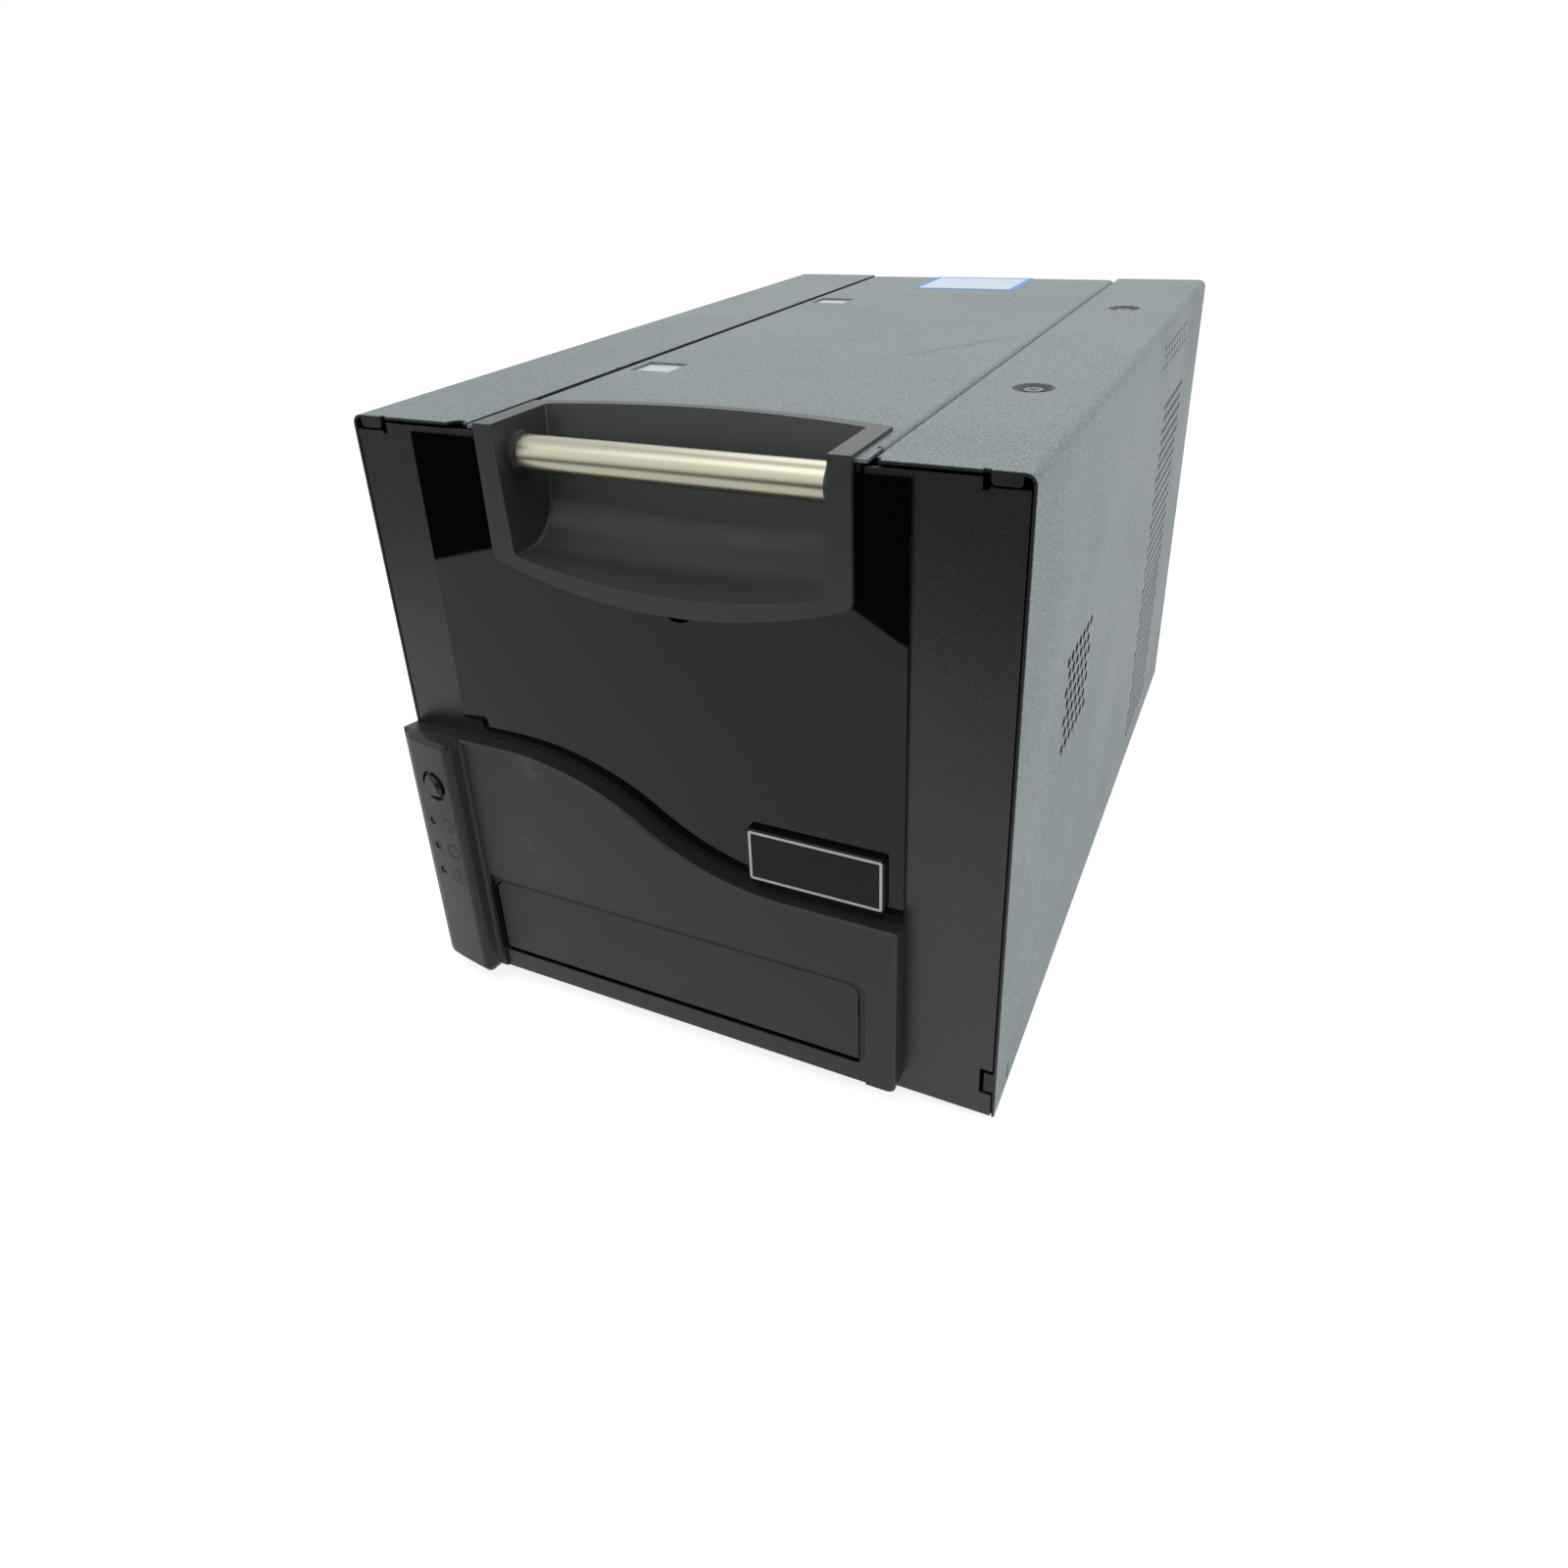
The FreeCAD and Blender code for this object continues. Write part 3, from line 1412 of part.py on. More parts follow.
def shaft_span():
    """X of the two ends of a shaft that just passes its bushes."""
    return frame_left - sheet - 1.5 - shaft_over, frame_right + sheet + 1.5 + shaft_over


def make_roller(place, radius, extra):
    """Roller with stepped ends on a shaft. Extra lengthens the shaft on the left."""
    y = depth(place[0])
    z = height(place[1])
    x0 = lid_centre - roller_span / 2
    x1 = lid_centre + roller_span / 2
    start, end = shaft_span()
    coat = rod_x(x0 + coat_end, x1 - coat_end, y, z, radius)
    hubs = rod_x(x0, x1, y, z, radius * 0.6)
    shaft = rod_x(start - extra, end, y, z, shaft_radius)
    return joined([coat, hubs, shaft])


def make_spool(place, roll_radius):
    """Flanged spool with its wound film and a slotted core end."""
    y = depth(place[0])
    z = height(place[1])
    x0 = lid_centre - roller_span / 2
    x1 = lid_centre + roller_span / 2
    start, end = shaft_span()
    flange = roll_radius + flange_over
    left = rod_x(x0, x0 + spool_flange, y, z, flange)
    right = rod_x(x1 - spool_flange, x1, y, z, flange)
    roll = rod_x(x0 + spool_flange, x1 - spool_flange, y, z, roll_radius)
    hubs = rod_x(x0 - 6, x1 + 6, y, z, core_radius)
    shaft = rod_x(start, end, y, z, shaft_radius)
    body = joined([left, right, roll, hubs, shaft])
    cuts = []
    for turn in (0, 120, 240):
        for x in (x0 - 7, x1 + 2):
            a = math.radians(turn + 90)
            cy = y + core_radius * math.cos(a)
            cz = z + core_radius * math.sin(a)
            cuts.append(rod_x(x, x + 5, cy, cz, 2.2))
    return without(body, cuts)


platen_wheel_out = frame_left - sheet - 1.5 - wheel_gap


def make_platen_gear():
    y = depth(platen_at[0])
    z = height(platen_at[1])
    wheel = gear(platen_wheel_out - gear_width, platen_wheel_out, y, z, platen_gear_teeth, 0)
    bore = rod_x(platen_wheel_out - gear_width - 1, platen_wheel_out + 1, y, z, shaft_radius)
    holes = [bore]
    for turn in range(0, 360, 60):
        a = math.radians(turn)
        holes.append(rod_x(
            platen_wheel_out - gear_width - 1, platen_wheel_out + 1,
            y + 13 * math.cos(a), z + 13 * math.sin(a), 3.5
        ))
    return without(wheel, holes)


drive_motor_radius = 16.0
motor_side_gap = 7.0
bracket_gap = 2.5
bracket_tall = 36.0


def drive_motor_depth():
    """Depth of the drive motor's axis, one centre distance behind the platen."""
    return platen_at[0] + gear_module * (platen_gear_teeth + motor_pinion_teeth) / 2


def make_drive_pinion():
    y = depth(drive_motor_depth())
    z = height(platen_at[1])
    x1 = platen_wheel_out
    x0 = x1 - gear_width
    wheel = gear(x0, x1, y, z, motor_pinion_teeth, 180.0 / motor_pinion_teeth)
    shaft = rod_x(x0 - bracket_gap - sheet - 5, x1 + 0.5, y, z, motor_shaft_radius)
    return joined([wheel, shaft])


def bracket_face():
    """X of the outer face of the motor bracket."""
    return platen_wheel_out - gear_width - bracket_gap - sheet


def make_motor_bracket():
    y = depth(drive_motor_depth())
    z = height(platen_at[1])
    x0 = bracket_face()
    plate = prism(
        rounded_outline(in_yz(x0), y - 14, y + 26, z - bracket_tall, z + bracket_tall, (5, 5, 5, 5)),
        Vector(sheet, 0, 0),
    )
    parts = [plate]
    for post_y, post_z in ((y - 8, z + 30), (y - 8, z - 30), (y + 20, z + 24), (y + 20, z - 24)):
        parts.append(rod_x(x0 + sheet, frame_left - sheet, post_y, post_z, 3.0))
    return joined(parts).cut(rod_x(x0 - 1, x0 + 3, y, z, 4.0))


def make_drive_motor():
    y = depth(drive_motor_depth())
    z = height(platen_at[1])
    x1 = bracket_face()
    x0 = -half + sheet + motor_side_gap
    body = rod_x(x0 + 3, x1, y, z, drive_motor_radius)
    tail_cap = rod_x(x0, x0 + 3, y, z, 5.0)
    return joined([body, tail_cap]).cut(rod_x(x1 - 6, x1 + 1, y, z, motor_shaft_radius + running))


# Print head arm

arm_half = 56.0
arm_plate = 2.0
arm_front = 140.0
arm_top = 186.0
arm_deep = 14.0
head_gap = 0.4
head_tall = 7.0
head_wide = 10.0
sink_top = arm_top - arm_plate
fins = 11


def make_print_arm():
    """Two side plates on the pivot shaft, tied by a bridge over the print head."""
    y_pivot = depth(arm_pivot_at[0])
    z_pivot = height(arm_pivot_at[1])
    parts = []
    for side in (-1, 1):
        outer = lid_centre + side * arm_half
        corners = [
            Vector(outer, depth(arm_front), height(arm_top)),
            Vector(outer, depth(arm_front), height(arm_top - arm_deep)),
            Vector(outer, depth(arm_front + 22), height(arm_top - arm_deep)),
            Vector(outer, y_pivot, z_pivot - 9),
            Vector(outer, y_pivot, z_pivot + 9),
            Vector(outer, depth(arm_front + 30), height(arm_top)),
        ]
        plate = prism(Part.makePolygon(corners + corners[:1]), Vector(-side * arm_plate, 0, 0))
        boss = rod_x(
            min(outer, outer - side * arm_plate),
            max(outer, outer - side * arm_plate), y_pivot, z_pivot, 9
        )
        parts += [plate, boss]
    x0 = lid_centre - arm_half
    x1 = lid_centre + arm_half
    bridge = block(x0, x1, depth(arm_front), depth(arm_front + 28), height(sink_top), height(arm_top))
    parts.append(bridge)
    return joined(parts).cut(rod_x(x0 - 1, x1 + 1, y_pivot, z_pivot, shaft_radius + running))


def make_print_head():
    y = depth(platen_at[0])
    low = height(platen_at[1] + platen_radius + head_gap)
    x0 = lid_centre - arm_half + arm_plate
    x1 = lid_centre + arm_half - arm_plate
    wire = Part.makePolygon([
        Vector(x0, y - head_wide / 2, low + 2),
        Vector(x0, y - 2, low),
        Vector(x0, y + 2, low),
        Vector(x0, y + head_wide / 2, low + 2),
        Vector(x0, y + head_wide / 2, low + head_tall),
        Vector(x0, y - head_wide / 2, low + head_tall),
        Vector(x0, y - head_wide / 2, low + 2),
    ])
    return prism(wire, Vector(x1 - x0, 0, 0))


def make_heat_sink():
    y = depth(platen_at[0])
    low = height(platen_at[1] + platen_radius + head_gap) + head_tall
    x0 = lid_centre - arm_half + arm_plate + 1
    x1 = lid_centre + arm_half - arm_plate - 1
    top = height(sink_top)
    body = block(x0, x1, y - 8, y + 9, low, top)
    pitch = (x1 - x0) / fins
    cuts = []
    for index in range(fins):
        start = x0 + index * pitch + pitch * 0.3
        cuts.append(block(start, start + pitch * 0.5, y - 9, y + 10, low + 3, top - 2))
    return without(body, cuts)


def make_arm_shaft():
    start, end = shaft_span()
    return rod_x(start, end, depth(arm_pivot_at[0]), height(arm_pivot_at[1]), shaft_radius)


def make_release_lever():
    """Thumb grip on the front of the print head arm."""
    y1 = depth(arm_front)
    z1 = height(arm_top)
    x0 = lid_centre + 14
    wire = rounded_outline(in_xy(z1 - 4), x0, x0 + 30, y1 - 13, y1, (5, 5, 0.2, 0.2))
    return prism(wire, Vector(0, 0, 4))


# Deck and electronics

deck_height = 60.0
deck_front = 180.0
deck_back = box_depth - 30.0
supply_front = box_depth - 132.0
supply_back = box_depth - 36.0
supply_tall = 60.0
board_front = 205.0
board_back = box_depth - 4.0
board_low = 92.0
board_high = box_height - 49.8


def make_deck():
    low = height(deck_height)
    plate = block(frame_left, frame_right, depth(deck_front), depth(deck_back), low, low + sheet)
    lip = block(frame_left, frame_right, depth(deck_front), depth(deck_front) + sheet, low, low + 8)
    return joined([plate, lip])


def make_power_supply():
    x0 = frame_right + sheet + 2
    x1 = half - sheet - 7
    y0 = depth(supply_front)
    y1 = depth(supply_back)
    low = floor_z + 2 * sheet
    case = block(x0, x1, y0, y1, low, low + supply_tall)
    cuts = []
    for index in range(7):
        y = y0 + 10 + index * 12
        cuts.append(block(x1 - 1.5, x1 + 1, y, y + 5, low + 14, low + supply_tall - 12))
        cuts.append(block(x0 + 8, x1 - 8, y, y + 5, low + supply_tall - 1.5, low + supply_tall + 1))
    return without(case, cuts)


def make_power_inlet():
    """Three-pin appliance inlet, its face flush with the rear panel."""
    z = height(inlet_height)
    back = back_y
    wide = inlet_width / 2
    tall = inlet_tall / 2
    body = block(inlet_x - wide, inlet_x + wide, back - inlet_depth, back, z - tall, z + tall)
    rim = inlet_flange
    flange = block(
        inlet_x - wide - rim, inlet_x + wide + rim, back - sheet - 2, back - sheet,
        z - tall - rim + 1, z + tall + rim - 1,
    )
    shell = joined([body, flange])
    hollow = Part.makePolygon([
        Vector(inlet_x - 12, back - 16, z - 8),
        Vector(inlet_x + 12, back - 16, z - 8),
        Vector(inlet_x + 12, back - 16, z + 3),
        Vector(inlet_x + 7.5, back - 16, z + 8),
        Vector(inlet_x - 7.5, back - 16, z + 8),
        Vector(inlet_x - 12, back - 16, z + 3),
        Vector(inlet_x - 12, back - 16, z - 8),
    ])
    shell = shell.cut(prism(hollow, Vector(0, 20, 0)))
    blades = []
    for dx, dz in ((-7, -1.5), (0, 2.5), (7, -1.5)):
        blades.append(block(
            inlet_x + dx - 1, inlet_x + dx + 1, back - 17, back - 4, z + dz - 2, z + dz + 2
        ))
    return joined([shell] + blades)


switch_inner = 8.4
rocker_half = 7.4
rocker_throw = 14.0
rocker_pivot_inset = 4.6


def make_switch_housing():
    z = height(rocker_height)
    wide = rocker_width / 2
    tall = rocker_tall / 2
    body = block(inlet_x - wide, inlet_x + wide, back_y - 20, back_y, z - tall, z + tall)
    flange = block(
        inlet_x - wide - 2, inlet_x + wide + 2, back_y - sheet - 2,
        back_y - sheet, z - tall - 2, z + tall + 2
    )
    shell = joined([body, flange])
    hollow = block(
        inlet_x - switch_inner, inlet_x + switch_inner, back_y - 12,
        back_y + 1, z - tall + 1.2, z + tall - 1.2
    )
    pivot = rod_z(z - tall + 0.4, z + tall - 0.4, inlet_x, back_y - rocker_pivot_inset, 1.0 + running)
    return without(shell, [hollow, pivot])


def make_power_rocker():
    """Shallow V-faced rocker on two stub pins."""
    z = height(rocker_height)
    tall = rocker_tall / 2 - 1.6
    y = back_y - rocker_pivot_inset
    turn = math.radians(rocker_throw / 2)
    face = 3.2
    corners = []
    for x, out in (
        (-rocker_half, face), (0, face - 0.9), (rocker_half, face),
        (rocker_half, -2.0), (-rocker_half, -2.0)
    ):
        px = inlet_x + x * math.cos(turn) - out * math.sin(turn)
        py = y + x * math.sin(turn) + out * math.cos(turn)
        corners.append(Vector(px, py, z - tall))
    body = prism(Part.makePolygon(corners + corners[:1]), Vector(0, 0, 2 * tall))
    pins = rod_z(z - rocker_tall / 2 + 0.6, z + rocker_tall / 2 - 0.6, inlet_x, y, 1.0)
    return joined([body, pins])


board_chips = (
    (0.20, 0.47, 26.0, 26.0, 3.0),
    (0.43, 0.22, 18.0, 18.0, 2.4),
    (0.61, 0.71, 30.0, 14.0, 8.0),
    (0.34, 0.79, 34.0, 10.0, 9.0),
    (0.11, 0.14, 14.0, 24.0, 12.0),
    (0.84, 0.14, 20.0, 16.0, 10.0),
)


def make_main_board():
    """Circuit board on stand-offs beside the right frame, with its larger components."""
    x0 = port_x - port_width / 2 - 1.6
    x1 = x0 + 1.6
    face = frame_right + sheet
    board = block(x0, x1, depth(board_front), depth(board_back), height(board_low), height(board_high))
    parts = [board]
    for distance in (board_front + 8, board_back - 10):
        for level in (board_low + 8, board_high - 8):
            parts.append(rod_x(face, x0, depth(distance), height(level), 3.0))
    for along, up, long, tall, thick in board_chips:
        y0 = depth(board_front + along * (board_back - board_front))
        z0 = height(board_low + up * (board_high - board_low))
        parts.append(block(x1, x1 + thick, y0, y0 + long, z0, z0 + tall))
    for along in (0.64, 0.69, 0.74):
        y = depth(board_front + along * (board_back - board_front))
        z = height(board_low + 0.35 * (board_high - board_low))
        parts.append(rod_x(x1, x1 + 14, y, z, 4.5))
    return joined(parts)


def make_data_port():
    wide = port_width / 2
    tall = port_tall / 2
    z = height(port_height)
    body = block(port_x - wide, port_x + wide, back_y - 17, back_y, z - tall, z + tall)
    mouth = block(
        port_x - wide + 1.8, port_x + wide - 1.8, back_y - 10, back_y + 1, z - tall + 1.6, z + tall - 1.6
    )
    tongue = block(port_x - 2.8, port_x + 2.8, back_y - 11, back_y - 1.5, z - 1.6, z + 1.6)
    return joined([body.cut(mouth), tongue])


fan_strut = 3.0
fan_hub = 17.0
rotor_tip = 36.5
blades = 7


def make_fan_frame():
    y1 = back_y - sheet
    y0 = y1 - fan_thick
    z = height(fan_height)
    reach = fan_size / 2
    wire = rounded_outline(in_xz(y0), fan_x - reach, fan_x + reach, z - reach, z + reach, (4, 4, 4, 4))
    frame = prism(wire, Vector(0, fan_thick, 0)).cut(rod_y(y0 - 1, y1 + 1, fan_x, z, fan_bore))
    parts = [frame, rod_y(y1 - 4, y1, fan_x, z, fan_hub)]
    for turn in (45, 135):
        bar = block(fan_x - fan_bore - 1, fan_x + fan_bore + 1, y1 - fan_strut, y1, z - 2, z + 2)
        bar.rotate(Vector(fan_x, 0, z), Vector(0, 1, 0), turn)
        parts.append(bar)
    parts.append(rod_y(y1 - 12, y1 - 4, fan_x, z, 2.5))
    return joined(parts)


def make_fan_rotor():
    """Cup hub with twisted blades."""
    y1 = back_y - sheet - 4.6
    y0 = y1 - 18.0
    z = height(fan_height)
    hub = rod_y(y0, y1, fan_x, z, fan_hub)
    hub = hub.cut(rod_y(y1 - 9, y1 + 1, fan_x, z, 2.5 + running))
    parts = [hub]
    for index in range(blades):
        sections = []
        for radius, pitch in ((fan_hub - 1.5, 48.0), (rotor_tip, 30.0)):
            a = math.radians(pitch)
            chord = Vector(math.cos(a), math.sin(a), 0) * 8.0
            thick = Vector(-math.sin(a), math.cos(a), 0) * 0.8
            middle = Vector(0, (y0 + y1) / 2, 0)
            corners = [
                middle + chord + thick, middle - chord + thick,
                middle - chord - thick, middle + chord - thick
            ]
            corners = [corner + Vector(fan_x, 0, z + radius) for corner in corners]
            sections.append(Part.makePolygon(corners + corners[:1]))
        blade = Part.makeLoft(sections, True, True)
        blade.rotate(Vector(fan_x, 0, z), Vector(0, 1, 0), 360.0 * index / blades)
        parts.append(blade)
    return joined(parts)


nodes = {
    "base_pan": make_base_pan,
    "rubber_feet": make_feet,
    "left_cover": make_left_cover,
    "right_cover": make_right_cover,
    "cover_screws": make_cover_screws,
    "front_sheet": make_front_sheet,
    "rear_panel": make_rear_panel,
    "inner_frame_left": lambda: make_frame(-1),
    "inner_frame_right": lambda: make_frame(1),
    "shaft_bushes": make_bushes,
    "pivot_pins": make_pivot_pins,
    "catch_magnets": make_catch_magnets,
    "deck": make_deck,
    "bezel": make_bezel,
    "status_lights": make_status_lights,
    "panel_board": make_panel_board,
    "operator_button": make_operator_button,
    "tray_door": make_tray_door,
    "lid_sheet": make_lid_sheet,
    "lid_inner_frame": make_lid_inner_frame,
    "catch_strikes": make_catch_strikes,
    "window_pads": make_window_pads,
    "blank_label": make_blank_label,
    "handle_housing": make_handle_housing,
    "handle_bar": make_handle_bar,
    "gloss_panel": make_gloss_panel,
    "badge_plate": make_badge_plate,
    "disc_tray": make_disc_tray,
    "tray_hub": make_tray_hub,
    "tray_rail_left": lambda: make_tray_rail(-1),
    "tray_rail_right": lambda: make_tray_rail(1),
    "tray_pinion": make_tray_pinion,
    "tray_motor": make_tray_motor,
    "transfer_roller": lambda: make_roller(transfer_at, transfer_radius, 0),
    "platen_roller": lambda: make_roller(platen_at, platen_radius, drive_out),
    "cleaning_roller": lambda: make_roller(cleaner_at, cleaner_radius, 0),
    "platen_gear": make_platen_gear,
    "drive_pinion": make_drive_pinion,
    "drive_motor": make_drive_motor,
    "motor_bracket": make_motor_bracket,
    "ribbon_supply_spool": lambda: make_spool(ribbon_supply_at, full_roll),
    "ribbon_takeup_spool": lambda: make_spool(ribbon_takeup_at, used_roll),
    "film_supply_spool": lambda: make_spool(film_supply_at, full_roll),
    "film_takeup_spool": lambda: make_spool(film_takeup_at, used_roll),
    "print_arm": make_print_arm,
    "print_head": make_print_head,
    "heat_sink": make_heat_sink,
    "release_lever": make_release_lever,
    "arm_shaft": make_arm_shaft,
    "power_supply": make_power_supply,
    "power_inlet": make_power_inlet,
    "switch_housing": make_switch_housing,
    "power_rocker": make_power_rocker,
    "main_board": make_main_board,
    "data_port": make_data_port,
    "fan_frame": make_fan_frame,
    "fan_rotor": make_fan_rotor,
}

os.makedirs("parts", exist_ok=True)
for name, make in nodes.items():
    save(name, make())
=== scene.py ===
import math

import bmesh
import bpy
from mathutils import Euler, Matrix, Vector


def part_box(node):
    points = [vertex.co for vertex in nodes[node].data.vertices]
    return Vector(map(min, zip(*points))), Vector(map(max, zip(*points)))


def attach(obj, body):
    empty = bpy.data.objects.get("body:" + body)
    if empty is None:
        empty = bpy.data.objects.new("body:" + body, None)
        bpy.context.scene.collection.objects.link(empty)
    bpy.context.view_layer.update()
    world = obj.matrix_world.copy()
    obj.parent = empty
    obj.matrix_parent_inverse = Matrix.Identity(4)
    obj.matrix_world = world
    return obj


# Looks for the disc printer. Metres, in the same frame as the solids.

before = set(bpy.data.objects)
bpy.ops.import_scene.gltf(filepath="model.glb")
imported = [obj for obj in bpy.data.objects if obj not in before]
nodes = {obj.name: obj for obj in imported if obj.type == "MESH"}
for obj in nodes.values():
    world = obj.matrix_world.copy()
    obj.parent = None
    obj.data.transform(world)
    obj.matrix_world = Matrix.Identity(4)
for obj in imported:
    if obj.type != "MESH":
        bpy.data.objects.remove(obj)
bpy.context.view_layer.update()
scene = bpy.context.scene

mm = 0.001
front_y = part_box("front_sheet")[0].y
base_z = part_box("base_pan")[0].z


def at(x, depth, height):
    """Place in millimetres: x, distance behind the front sheet, height above the underside."""
    return Vector((x * mm, front_y + depth * mm, base_z + height * mm))


# Colours and materials

def linear(value):
    value = value / 255
    return value / 12.92 if value <= 0.04045 else ((value + 0.055) / 1.055) ** 2.4


def tone(red, green, blue):
    return (linear(red), linear(green), linear(blue), 1.0)


def scaled(colour, share):
    """A lighter or darker version of a colour."""
    return tuple(min(1.0, part * share) for part in colour[:3]) + (1.0,)


# Octaves of noise for fine grain, for slow drift of colour and for broken clouds
grain_detail, drift_detail, cloud_detail = 2.0, 3.0, 4.0


class Surface:
    """One procedural material: a finish, with colour marks, gloss changes and relief added to it.
    Noise scales are per metre, and relief distances are metres."""

    def __init__(self, name, colour, rough, metal=0.0):
        self.material = bpy.data.materials.new(name)
        self.material.use_nodes = True
        self.tree = self.material.node_tree
        self.shader = self.tree.nodes["Principled BSDF"]
        self.place = self.tree.nodes.new("ShaderNodeTexCoord").outputs["Object"]
        self.colour = colour
        self.rough = rough
        self.paint = None
        self.set(Base_Color=colour, Roughness=rough, Metallic=metal)

    def set(self, **values):
        for key, value in values.items():
            self.shader.inputs[key.replace("_", " ")].default_value = value
        return self

    def node(self, kind, **values):
        made = self.tree.nodes.new(kind)
        for key, value in values.items():
            if hasattr(made, key):
                setattr(made, key, value)
            else:
                made.inputs[key.replace("_", " ")].default_value = value
        return made

    def link(self, source, target):
        self.tree.links.new(source, target)

    def noise(self, scale, detail, stretch=None):
        made = self.node("ShaderNodeTexNoise", Scale=scale, Detail=detail)
        place = self.place
        if stretch:
            mapping = self.node("ShaderNodeMapping", Scale=stretch)
            self.link(place, mapping.inputs["Vector"])
            place = mapping.outputs["Vector"]
        self.link(place, made.inputs["Vector"])
        return made.outputs["Fac"]

    def ramp(self, source, low, high, to_low=0.0, to_high=1.0):
        """Turns a value from low to high into one from to_low to to_high, level beyond them."""
        made = self.node("ShaderNodeMapRange", From_Min=low, From_Max=high,
                         To_Min=to_low, To_Max=to_high)
        self.link(source, made.inputs["Value"])
        return made.outputs["Result"]

    def product(self, one, other):
        made = self.node("ShaderNodeMath", operation="MULTIPLY")
        self.link(one, made.inputs[0])
        self.link(other, made.inputs[1])
        return made.outputs["Value"]

    def measured(self, source, *steps):
        """Vector maths on a place: each step is an operation and its second value."""
        for operation, *second in steps:
            made = self.node("ShaderNodeVectorMath", operation=operation)
            self.link(source, made.inputs[0])
            if second:
                made.inputs[1].default_value = second[0]
            length = operation in ("LENGTH", "DISTANCE")
            source = made.outputs["Value" if length else "Vector"]
        return source

    def beyond(self, centre, half):
        """Distance in x and z from a box about a centre, nought inside it."""
        return self.measured(self.place, ("SUBTRACT", centre), ("ABSOLUTE",), ("SUBTRACT", half),
                             ("MAXIMUM", (0, 0, 0)), ("MULTIPLY", (1, 0, 1)), ("LENGTH",))

    def mix(self, factor, other):
        """Lays another colour over the paint where factor is high."""
        made = self.node("ShaderNodeMix", data_type="RGBA")
        base, top = made.inputs[6], made.inputs[7]
        self.link(factor, made.inputs["Factor"])
        if self.paint is None:
            base.default_value = self.colour
        else:
            self.link(self.paint, base)
        top.default_value = other
        self.paint = made.outputs[2]
        self.link(self.paint, self.shader.inputs["Base Color"])
        return self

    def drift(self, scale, share, detail=drift_detail):
        """Slow change between the colour and a lighter or darker version of it."""
        factor = self.ramp(self.noise(scale, detail), 0.35, 0.65)
        return self.mix(factor, scaled(self.colour, share))

    def uneven_gloss(self, scale, spread, stretch=None):
        """Roughness that wanders either side of its plain value."""
        low, high = max(0.0, self.rough - spread), self.rough + spread
        rough = self.ramp(self.noise(scale, cloud_detail, stretch), 0.3, 0.7, low, high)
        self.link(rough, self.shader.inputs["Roughness"])
        return self

    def relief(self, scale, strength, distance, stretch=None):
        """Fine bump such as paint grain, moulding texture or brushing."""
        bump = self.node("ShaderNodeBump", Strength=strength, Distance=distance)
        self.link(self.noise(scale, grain_detail, stretch), bump.inputs["Height"])
        self.link(bump.outputs["Normal"], self.shader.inputs["Normal"])
        return self

    def clouded(self, factor, scale, low, high, colour):
        """Lays a colour where factor is high, broken up by noise."""
        cloud = self.ramp(self.noise(scale, cloud_detail), low, high)
        return self.mix(self.product(factor, cloud), colour)

    def patch(self, centre, radius, colour, strength):
        """A faint cloudy mark round one place on the part."""
        away = self.measured(self.place, ("DISTANCE", centre))
        return self.clouded(self.ramp(away, radius, 0.0, 0.0, strength), 220.0, 0.35, 0.7, colour)

    def streak(self, start, end, width, colour, strength):
        """A faint rubbed line between two places on a level face."""
        run = end - start
        turned = self.node("ShaderNodeMapping", vector_type="TEXTURE", Location=(start + end) / 2,
                           Rotation=(0, 0, math.atan2(run.y, run.x)),
                           Scale=(run.length / 2, width, 1.0))
        self.link(self.place, turned.inputs["Vector"])
        away = self.measured(turned.outputs["Vector"], ("LENGTH",))
        return self.clouded(self.ramp(away, 1.0, 0.2, 0.0, strength), 160.0, 0.3, 0.65, colour)

    def inside(self, half_width, top, bend, colour, dimples, dimple_radius):
        """Painted shade inside the outer skin of a folded cover: hole walls, cut edges and tabs
        are painted darker in place of the shade there.
        The skin is the side and top joined by the bend radius. Pressed dimples get part of it, as
        painted shade in the dimples."""
        away = self.beyond((0, 0, 0), (half_width - bend, 0, top - bend))
        skin, under = bend - 0.15 * mm, bend - 0.3 * mm
        factor = self.ramp(away, skin, under)
        for centre in dimples:
            away = self.measured(self.place, ("DISTANCE", centre))
            share = self.ramp(away, dimple_radius, dimple_radius + 0.5 * mm, 0.6)
            factor = self.product(factor, share)
        return self.mix(factor, colour)

    def outline(self, box, radius, reach, colour):
        """Painted shadow: a darker margin round an opening in the front face, in place of the
        shade of the gap, whose rounded box is given.
        """
        low, high = box
        corner = Vector((radius, 0, radius))
        away = self.beyond((low + high) / 2, (high - low) / 2 - corner)
        edge = radius + reach
        return self.mix(self.ramp(away, edge, edge - 0.1 * mm), colour)

    def edges(self, face_y, start, end, colour):
        """Painted shade on the edges of a moulding: the part between two depths behind its front
        face is darkened in place of the shade in the gap round it.
        """
        parts = self.node("ShaderNodeSeparateXYZ")
        self.link(self.place, parts.inputs["Vector"])
        fade = 0.1 * mm
        behind = self.ramp(parts.outputs["Y"], face_y + start - fade, face_y + start)
        before = self.ramp(parts.outputs["Y"], face_y + end + fade, face_y + end)
        return self.mix(self.product(behind, before), colour)


def powder(name, colour, rough, speck):
    """Powder-coated sheet: fine orange-peel grain, specks and a slightly uneven sheen."""
    surface = Surface(name, colour, rough).drift(9.0, 1.08)
    light, dark = (surface.noise(scale, grain_detail) for scale in (1500.0, 1150.0))
    surface.mix(surface.ramp(light, 0.5, 0.66), scaled(colour, speck))
    surface.mix(surface.ramp(dark, 0.52, 0.68), scaled(colour, 1 / speck))
    surface.uneven_gloss(14.0, 0.04).relief(1300.0, 0.35, 0.0002)
    return surface.set(Specular_IOR_Level=0.3)


